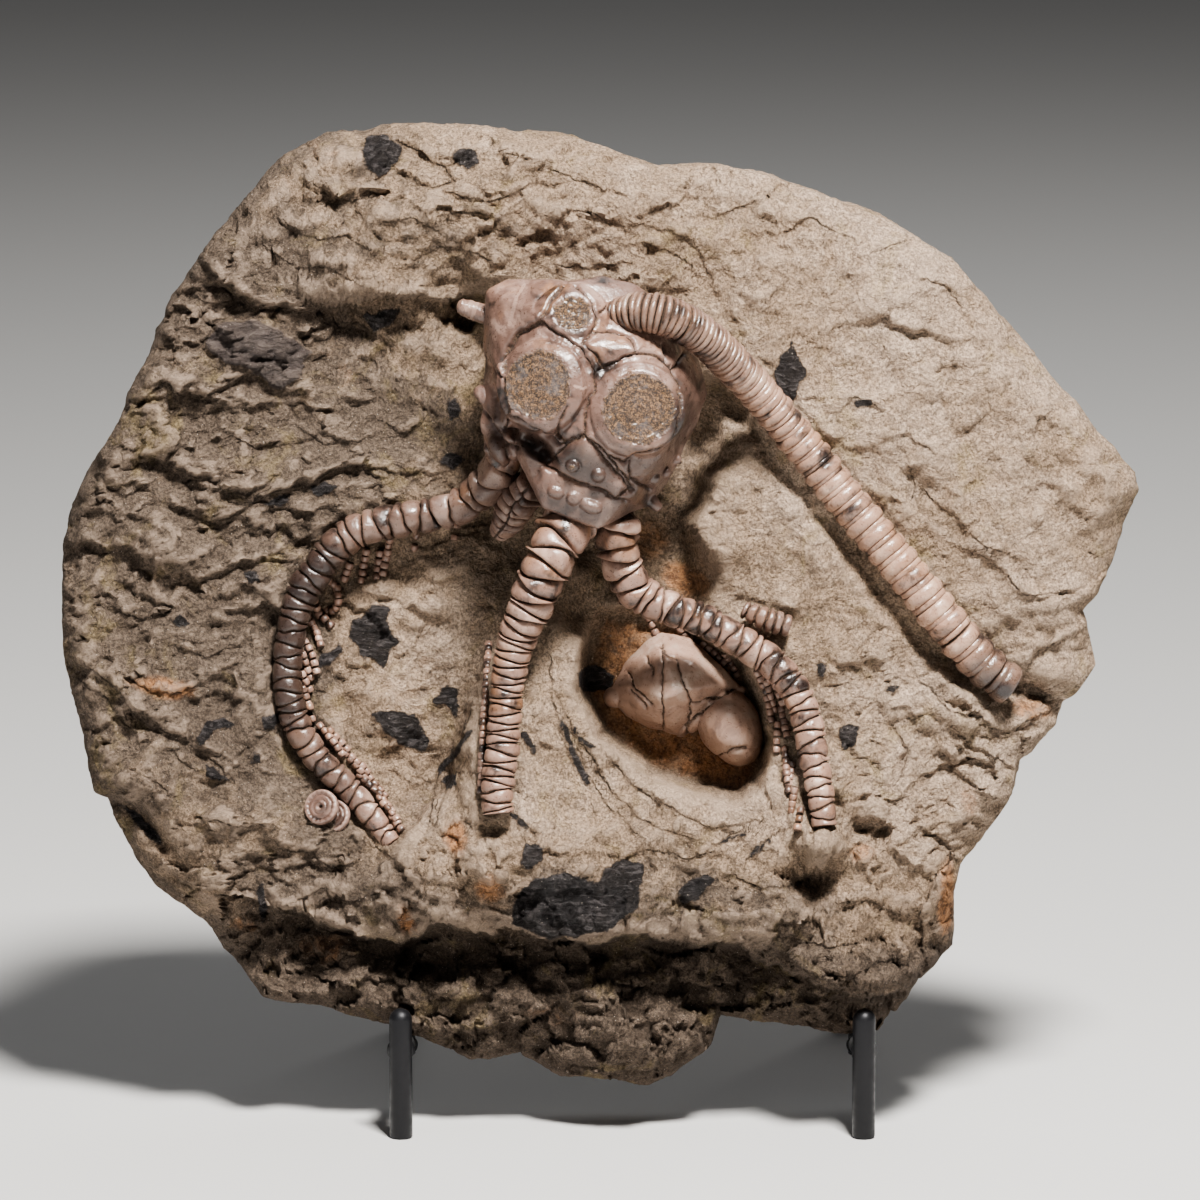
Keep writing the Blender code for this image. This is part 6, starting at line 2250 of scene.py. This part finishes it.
@dataclass
class Branchlets:
    """The pinnules: strings of small ossicles beside the arms.

    Attributes:
        axes: the slab's axes.
        slab: the stone that they lie on.
        strings: each one's (u, v) corners.
    """

    axes: FaceAxes
    slab: Slab
    strings: list[Places] = field(default_factory=lambda: [
        # under the left arm's upper bend
        [(-29, 15), (-29.4, 12.6)], [(-37, 13), (-37.4, 10.6)],
        [(-42.4, 12.2), (-43, 9), (-43.8, 5.4)], [(-44.4, 9.4), (-44.8, 6.4), (-45, 4.6)],
        [(-47.2, 9.8), (-47.8, 6.4), (-48.2, 4)], [(-50.6, 7), (-51.6, 4.4)],
        [(-54.8, 4), (-53.2, 2.6), (-52.8, 0), (-53.6, -2.2), (-55.2, -2.2)],
        [(-57.6, 0), (-57, -3)], [(-59, -3.4), (-57.4, -6), (-56.4, -9)], [(-56.8, -2.6), (-54.4, -5)],
        [(-59.4, -8.4), (-58, -11), (-57.2, -14.4)], [(-59.8, -11), (-58.4, -15.6)],
        [(-60, -15), (-58.6, -18)], [(-59.8, -18), (-58.8, -21)], [(-58.6, -21.6), (-58, -24)],
        # along the left arm's lower end
        [(-56.4, -25.4), (-53.6, -28.6), (-52, -31)], [(-54.4, -26.4), (-51, -30)],
        [(-52.4, -30), (-48.6, -34), (-46.6, -37)], [(-50, -31.6), (-47, -34.6)],
        [(-48.4, -35.4), (-44.6, -39), (-42, -42.4)], [(-46.4, -36), (-43.4, -39.4)],
        [(-44.4, -40), (-41, -44)], [(-42.6, -42.4), (-40, -46)],
        # left of the centre arm
        [(-22.4, -9), (-22.6, -14), (-23, -20), (-23.4, -27), (-23.6, -34), (-23.8, -38)],
        # beside the right arm
        [(3.2, 3), (4.4, 0)], [(9, -2.4), (10.2, -4.4), (11.2, -6.6)],
        [(16.4, -6), (18, -8.6)], [(21, -8.8), (23.4, -11), (25, -12.6)], [(25.2, -11), (26.6, -13),
                                                                           (27.6, -15)],
        [(31.6, -14.6), (33.4, -18.4), (34.4, -24)], [(33.4, -16.6), (35, -22)], [(35.6, -25), (35.4, -30)],
        [(37, -30), (37.4, -36)], [(38.8, -38), (38.2, -42)], [(40, -42), (39.4, -45.4)],
        [(38.4, -33), (37.6, -38)], [(36.4, -22), (37.4, -27)], [(35.2, -17.4), (36.6, -20.6)],
    ])

    def build(self, material: bpy.types.Material) -> bpy.types.Object:
        """Strings the ossicles.

        Args:
            material: their calcite.

        Returns:
            The piece.
        """
        points, edges = [], []
        for string in self.strings:
            face = np.array(string, float)
            lift = self.slab.face_height(face) + 0.6
            start = len(points)
            points += np.column_stack([face, lift]).tolist()
            edges += [(start + k, start + k + 1) for k in range(len(string) - 1)]
        mesh = bpy.data.meshes.new("branchlet_lines")
        mesh.from_pydata(self.axes.to_frame(np.array(points)).tolist(), edges, [])
        values = {"Sides": 14, "Rim": 0.22, "Seed": 5, "Spacing": 1.35 * MM, "Width": 0.82 * MM}
        obj = branchlet_tree().run_on("branchlets", mesh, {**values, "Finish": material})
        set_values(obj.data, pore=NO_PORE, grime=0.0)
        return obj


@dataclass
class LooseColumnal:
    """The loose stem ossicle lying face up, with the edge of another behind it.

    Attributes:
        axes: the slab's axes.
        radius, thick, hole: its radius, its thickness and the radius of its hole.
        lip: radius past which it is clean and pale.
        sides: points round it.
        places: each ossicle's (u, v, w) and scale.
    """

    axes: FaceAxes
    radius: float = 3.6
    thick: float = 1.7
    hole: float = 0.55
    lip: float = 3.1
    sides: int = 72
    places: tuple[tuple[float, ...], ...] = ((-55.9, -41.6, 24.4, 1.0), (-53.4, -43.4, 22.2, 0.93))

    def build(self, material: bpy.types.Material) -> bpy.types.Object:
        """Makes both ossicles.

        Args:
            material: their calcite.

        Returns:
            The piece.
        """
        top, hole = self.thick / 2, self.hole
        profile = [
            (0.02, top - 0.9), (hole * 0.6, top - 0.8), (hole, top - 0.15), (hole * 1.5, top + 0.06),
            (1.2, top - 0.1),
            (1.5, top - 0.3), (1.75, top - 0.1), (2.3, top - 0.2), (2.5, top - 0.36), (2.75, top - 0.1),
            (3.25, top),
            (3.5, top - 0.2), (self.radius, 0.0), (3.5, 0.2 - top), (3.2, -top), (1.6, -top), (0.02, -top),
        ]
        discs = [self.lathe(profile, place) for place in self.places]
        faces = grid_faces(len(profile), self.sides, True)
        points = np.vstack(discs)
        both = np.vstack([faces, faces + len(discs[0])])
        mesh = make_mesh("loose_ossicle", points, both.tolist(), self.axes)
        across = np.tile(np.repeat([radius for radius, _ in profile], self.sides), len(discs))
        rings = sum(np.exp(-(((across - radius) / 0.22) ** 2)) for radius in (1.5, 2.5))
        seam = 1.2 * np.exp(-((across / 0.6) ** 2)) + 0.75 * rings
        grime = 0.7 * smooth_step(0.3 + 2 * value_noise(points, 3.0, 6)) * (across < self.lip)
        tone = np.where(across > self.lip, 0.6, 0.4 * value_noise(points, 2.5, 4))
        set_values(mesh, pore=NO_PORE, seam=seam, grime=grime, tone=tone)
        face_out(mesh)
        return show("loose_ossicle", mesh, material)

    def lathe(self, profile: Places, place: tuple[float, ...]) -> np.ndarray:
        """Turns the profile round an axis.

        Args:
            profile: rows of (radius, height).
            place: the ossicle's (u, v, w) and scale.

        Returns:
            Rows of (u, v, w).
        """
        angles = np.linspace(0, math.tau, self.sides, endpoint=False)
        rows = []
        for radius, height in profile:
            ribs = 0.08 * np.sin(angles * 18) * (2.6 < radius < 3.4)
            rows.append(np.column_stack([radius * np.cos(angles), radius * np.sin(angles), height + ribs]))
        turn = np.array(Vector(LOOSE_COLUMNAL_WAY).normalized().to_track_quat("Z", "Y").to_matrix())
        points = np.vstack(rows) * place[3] @ turn.T + np.array(place[:3])
        return points + 0.06 * np.column_stack([layered_noise(points, 1.2, seed, 2) for seed in (1, 2, 3)])


# ---- The stand ----


@dataclass
class Stand:
    """The black rod stand, each rod where its solid is, with welds where they meet.

    Attributes:
        axes: the slab's axes.
        radius: the rod's radius.
        sides: points round it.
        leg_u: where each side's rods are across the face.
        leg_top, leg_v, leg_w: height of a front leg, and where it stands.
        cradle_v: where the slab's lower edge rests.
        post_top_v, rear_top_v: where a post and a rear leg end.
        rear_foot_height: how far a rear leg stands upright before it leans.
        low_bar_v, high_bar_v: where the cross bars are.
        gap: space between two rods.
        bevel, bevel_share: length of the bevel on a rod's end, and the radius left there as a share.
        bend: how far from a corner its bend starts.
    """

    axes: FaceAxes
    radius: float = 2.3
    sides: int = 32
    leg_u: dict[Side, float] = field(default_factory=lambda: {Side.LEFT: -40.0, Side.RIGHT: 53.0})
    leg_top: float = 26.6
    leg_v: float = -85.0
    leg_w: float = 25.2
    cradle_v: float = -90.6
    post_top_v: float = 16.0
    rear_top_v: float = -4.0
    rear_foot_height: float = 7.0
    low_bar_v: float = -72.0
    high_bar_v: float = 6.0
    gap: float = 0.3
    bevel: float = 0.35
    bevel_share: float = 0.86
    bend: float = 2.6

    def in_frame(self, places: Places) -> np.ndarray:
        """Rows of (u, v, w) in the frame's metres."""
        return self.axes.to_frame(np.array(places, float))

    def rod(self, name: str, line: np.ndarray, material: bpy.types.Material, domed: bool, node: str) -> None:
        """Makes one rod and hands it over.

        Args:
            name: the piece's name.
            line: its centre line in the frame's metres.
            material: its finish.
            domed: whether its far end is rounded.
            node: the solid that it replaces.
        """
        radius, bevel, bend = self.radius * MM, self.bevel * MM, self.bend * MM
        narrow = radius * self.bevel_share
        rows = [(line[0], narrow), (line[0] + unit(line[1] - line[0]) * bevel, radius)]
        for before, corner, after in zip(line[:-2], line[1:-1], line[2:]):
            back, on = unit(before - corner), unit(after - corner)
            for t in np.linspace(0, 1, 7):
                rows.append((corner + bend * (back * (1 - t) ** 2 + on * t**2), radius))
        end, along = line[-1], unit(line[-1] - line[-2])
        if domed:
            for angle in np.radians([0, 15, 30, 45, 60, 74, 86]):
                rows.append((end - along * radius * (1 - math.sin(angle)), radius * math.cos(angle)))
        else:
            rows += [(end - along * bevel, radius), (end, narrow)]
        centres = np.array([place for place, _ in rows])
        sizes = np.array([size for _, size in rows])
        way = unit(np.gradient(centres, axis=0))
        side = np.cross(way, [1.0, 0.0, 0.0])
        lying = np.linalg.norm(side, axis=1) < 0.5
        side[lying] = np.cross(way[lying], [0.0, 0.0, 1.0])
        side = unit(side)
        other = np.cross(way, side)
        angles = np.linspace(0, math.tau, self.sides, endpoint=False)[None, :, None]
        ring = np.cos(angles) * side[:, None, :] + np.sin(angles) * other[:, None, :]
        points = (centres[:, None, :] + ring * sizes[:, None, None]).reshape(-1, 3)
        start, last = np.arange(self.sides), (len(rows) - 1) * self.sides
        faces = [*grid_faces(len(rows), self.sides, True), start[::-1], last + start]
        mesh = make_mesh(name, points, faces, None)
        face_out(mesh)
        mesh.set_sharp_from_angle(angle=math.radians(50))
        hand_over(show(name, mesh, material), "black_steel", node)

    def weld(
        self, name: str, place: np.ndarray, material: bpy.types.Material, size: Triple, seed: int
    ) -> None:
        """Makes one lumpy weld.

        Args:
            name: the piece's name.
            place: its centre in the frame's metres.
            material: its finish.
            size: its half sizes in millimetres.
            seed: which lumps.
        """
        shape = bmesh.new()
        bmesh.ops.create_icosphere(shape, subdivisions=4, radius=1)
        points = np.array([vertex.co[:] for vertex in shape.verts])
        swell = 1 + 0.10 * layered_noise(points, 0.8, seed, 2)
        points = points * swell[:, None] * np.array(size) * MM + place
        for vertex, point in zip(shape.verts, points):
            vertex.co = point
        mesh = bpy.data.meshes.new(name)
        shape.to_mesh(mesh)
        shape.free()
        mesh.shade_smooth()
        hand_over(show(name, mesh, material), "black_steel")

    def build(self, material: bpy.types.Material) -> None:
        """Makes every rod and weld.

        Args:
            material: their finish.
        """
        reach = self.radius + self.gap
        for side, u in self.leg_u.items():
            label = side.value
            foot = self.in_frame([(u, self.leg_v, self.leg_w)])[0] * [1, 1, 0]
            leg = np.array([foot, foot + [0, 0, self.leg_top * MM]])
            self.rod(f"leg_{label}", leg, material, True, f"front_leg_{label}")
            cradle = self.in_frame([(u, self.cradle_v, self.leg_w - reach - 1.0), (u, self.cradle_v, 0.0)])
            self.rod(f"cradle_{label}", cradle, material, False, f"cradle_rod_{label}")
            post = self.in_frame([(u, self.cradle_v - self.radius, -reach), (u, self.post_top_v, -reach)])
            self.rod(f"post_{label}", post, material, True, f"back_post_{label}")
            top = self.in_frame([(u, self.rear_top_v, -3 * reach - 0.4)])[0]
            _, rear_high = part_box(f"rear_leg_{label}")
            rear_y = rear_high[1] - self.radius * MM
            rear = np.array([[top[0], rear_y, 0], [top[0], rear_y, self.rear_foot_height * MM], top])
            self.rod(f"strut_{label}", rear, material, True, f"rear_leg_{label}")
            for spot, v, w, size, seed in (
                ("front", self.cradle_v + 0.3, self.leg_w - reach + 0.2, (2.75, 1.5, 2.7), 11),
                ("back", self.cradle_v, -0.6, (2.6, 1.4, 2.6), 15),
                ("top", self.rear_top_v - 1.5, -2 * reach, (2.2, 1.5, 3.2), 19),
            ):
                joint = self.in_frame([(u, v, w)])[0]
                self.weld(f"weld_{spot}_{label}", joint, material, size, seed + len(label))
        for name, v in (("low_cross_bar", self.low_bar_v), ("high_cross_bar", self.high_bar_v)):
            inner = (self.leg_u[Side.LEFT] + reach, self.leg_u[Side.RIGHT] - reach)
            ends = self.in_frame([(u, v, -reach) for u in inner])
            self.rod(name.replace("cross_", ""), ends, material, False, name)
            for index, end in enumerate(ends):
                self.weld(f"weld_{name}_{index}", end, material, (1.2, 2.5, 2.5), 23 + index)


# ---- Studio ----


@dataclass(frozen=True)
class SoftLight:
    """A square lamp that faces the fossil.

    Attributes:
        name: its name.
        azimuth: where it stands, in degrees to the right of the face's front.
        elevation: how high it stands, in degrees.
        distance: how far off it is, in metres.
        width: its width, in metres.
        power: in watts.
        tint: its colour.
    """

    name: str
    azimuth: float
    elevation: float
    distance: float
    width: float
    power: float
    tint: Triple = (1.0, 1.0, 1.0)

    def place(self, target: Vector) -> None:
        """Puts it in the scene, turned to the target.

        Args:
            target: the place it faces.
        """
        lamp = bpy.data.lights.new(self.name, "AREA")
        lamp.energy, lamp.size, lamp.color = self.power, self.width, self.tint
        obj = bpy.data.objects.new(self.name, lamp)
        bpy.context.scene.collection.objects.link(obj)
        turn, rise = math.radians(self.azimuth), math.radians(self.elevation)
        way = Vector((math.sin(turn) * math.cos(rise), -math.cos(turn) * math.cos(rise), math.sin(rise)))
        obj.location = target + way * self.distance
        obj.rotation_euler = way.to_track_quat("Z", "Y").to_euler()


@dataclass
class Studio:
    """The floor, the lamps and the camera.

    Attributes:
        axes: the slab's axes.
        camera_distance: from the lens to the face, in metres.
        face_level: height over the slab's back that the camera is set for, in metres.
        frame_width: how much of the face's plane it sees, in metres.
        sensor: width of its sensor, in millimetres.
        floor_half: half the floor's width, in metres.
        look: the picture's contrast.
        sky, sky_strength: the light from all round.
    """

    axes: FaceAxes
    camera_distance: float = 1.5
    face_level: float = 0.030
    frame_width: float = 0.240
    sensor: float = 36.0
    floor_half: float = 8.0
    look: str = "AgX - Medium High Contrast"
    sky: Triple = (0.95, 0.96, 1.0)
    sky_strength: float = 0.055

    def build(self) -> None:
        """Sets the studio up."""
        scene = bpy.context.scene
        scene.view_settings.look = self.look
        floor, half = bpy.data.meshes.new("floor"), self.floor_half
        corners = [(-half, -half, 0), (half, -half, 0), (half, half, 0), (-half, half, 0)]
        floor.from_pydata(corners, [], [(0, 1, 2, 3)])
        show("floor", floor, PaleFloor().make())
        target = Vector(self.axes.origin)
        for lamp in (
            SoftLight("key", 19, 57, 1.1, 0.20, 38, (1.0, 0.975, 0.94)),
            SoftLight("fill", -40, 24, 1.6, 1.3, 2.6, (0.93, 0.96, 1.0)),
            SoftLight("back", 160, 55, 1.6, 1.0, 5),
        ):
            lamp.place(target)
        world = bpy.data.worlds.new("studio")
        world.use_nodes = True
        background = world.node_tree.nodes["Background"]
        background.inputs["Color"].default_value = (*self.sky, 1)
        background.inputs["Strength"].default_value = self.sky_strength
        scene.world = world
        lens = bpy.data.cameras.new("camera")
        lens.sensor_width = self.sensor
        lens.lens = self.sensor * self.camera_distance / self.frame_width
        lens.clip_start, lens.clip_end = 0.05, 50
        camera = bpy.data.objects.new("camera", lens)
        scene.collection.objects.link(camera)
        off = self.face_level + self.camera_distance
        camera.matrix_world = self.axes.matrix @ Matrix.Translation((0, 0, off))
        scene.camera = camera


# ---- The whole ----


def rods(axes: FaceAxes) -> list[PlatedRod]:
    """The arms and the smaller rods beside them.

    Args:
        axes: the slab's axes.

    Returns:
        The rods, ready to build.
    """
    return [
        PlatedRod(
            "left_arm_plates", "left_arm", LEFT_ARM, axes, first=4.6, last=2.3, slant=0.62, flare=0.12,
            calm=0.42, groove=0.17, seed=2, darker_stretches=[(0.34, 0.78, 1.0), (0.0, 0.95, 0.55)],
        ),
        PlatedRod(
            "centre_arm_plates", "centre_arm", CENTRE_ARM, axes, first=3.7, last=1.55, slant=1.0, flare=0.16,
            calm=0.5, groove=0.16, seed=4, sunk_end=2.4,
        ),
        PlatedRod(
            "right_arm_plates", "right_arm", RIGHT_ARM, axes, first=3.2, last=2.3, slant=0.75, flare=0.16,
            calm=0.35, groove=0.16, seed=8,
        ),
        PlatedRod(
            "arm_stub_plates", "arm_stub", ARM_STUB, axes, first=2.5, last=1.9, slant=0.5, flare=0.2,
            calm=0.99, groove=0.18, seed=9, split=True, darker_stretches=[(-1, 2, 0.3)],
        ),
        PlatedRod(
            "spine_rod", "spine", SPINE, axes, first=1.2, last=1.2, slant=0.0, flare=0.0, groove=0.0,
            belly=0.0, jitter=0.0, seed=10, sunk_end=0.0, round_end=True, darker_stretches=[(-1, 2, 0.35)],
        ),
        PlatedRod(
            "ribbed_piece", "ribbed_fragment", RIBBED, axes, first=1.9, last=1.9, slant=0.1, flare=0.05,
            groove=0.3, seed=11, darker_stretches=[(-1, 2, 0.5)],
        ),
    ]


def face_axes() -> FaceAxes:
    """Finds the slab's axes from the left front leg, whose place in them is known.

    Returns:
        The slab's axes.
    """
    stand = Stand(FaceAxes((0, 0, 0), SLAB_LEAN))
    low, high = (np.array(corner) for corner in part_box("front_leg_left"))
    foot = np.array([(low[0] + high[0]) / 2, (low[1] + high[1]) / 2, 0.0])
    start = stand.axes.to_frame(np.array([[stand.leg_u[Side.LEFT], stand.leg_v, stand.leg_w]]))[0]
    return FaceAxes((foot[0] - start[0], foot[1] - start[1], ORIGIN_HEIGHT * MM), SLAB_LEAN)


def main() -> None:
    """Builds the fossil, its stand and the studio."""
    logging.basicConfig(level=logging.INFO, format="%(message)s")
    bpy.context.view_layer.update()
    axes = face_axes()
    Studio(axes).build()

    stone = Siltstone().make()
    cup, arm, low, stem = (
        Calcite(f"{name}_calcite", base, light, dark, roughness=roughness).make()
        for name, base, light, dark, roughness in (
            ("cup", (0.160, 0.096, 0.074), (0.310, 0.208, 0.168), (0.018, 0.011, 0.009), 0.33),
            ("arm", (0.262, 0.160, 0.120), (0.430, 0.291, 0.228), (0.020, 0.012, 0.010), 0.33),
            # A lighter copy of the calcite for the second cup: painted light against the shade it lies in
            # inside the pit.
            ("low", (0.720, 0.480, 0.362), (0.860, 0.675, 0.545), (0.180, 0.112, 0.085), 0.33),
            ("stem", (0.340, 0.209, 0.150), (0.495, 0.338, 0.252), (0.026, 0.017, 0.015), 0.30),
        )
    )

    slab = Slab(axes, grooves=[COLUMN, LEFT_ARM, CENTRE_ARM, RIGHT_ARM, RIBBED])
    hand_over(slab.build(stone), "siltstone", "matrix_slab")
    for plates, calcite in ((main_cup(axes), cup), (second_cup(axes), low)):
        hand_over(plates.build(calcite), "cup_calcite", plates.node)
    hand_over(Stem(axes).build(stem), "arm_calcite", "column")
    for rod in rods(axes):
        hand_over(rod.build(arm), "arm_calcite", rod.node)
    hand_over(LooseColumnal(axes).build(cup), "arm_calcite", "loose_columnal")
    hand_over(Branchlets(axes, slab).build(arm), "arm_calcite")
    Stand(axes).build(BlackSteel().make())


if __name__ == "__main__":
    main()
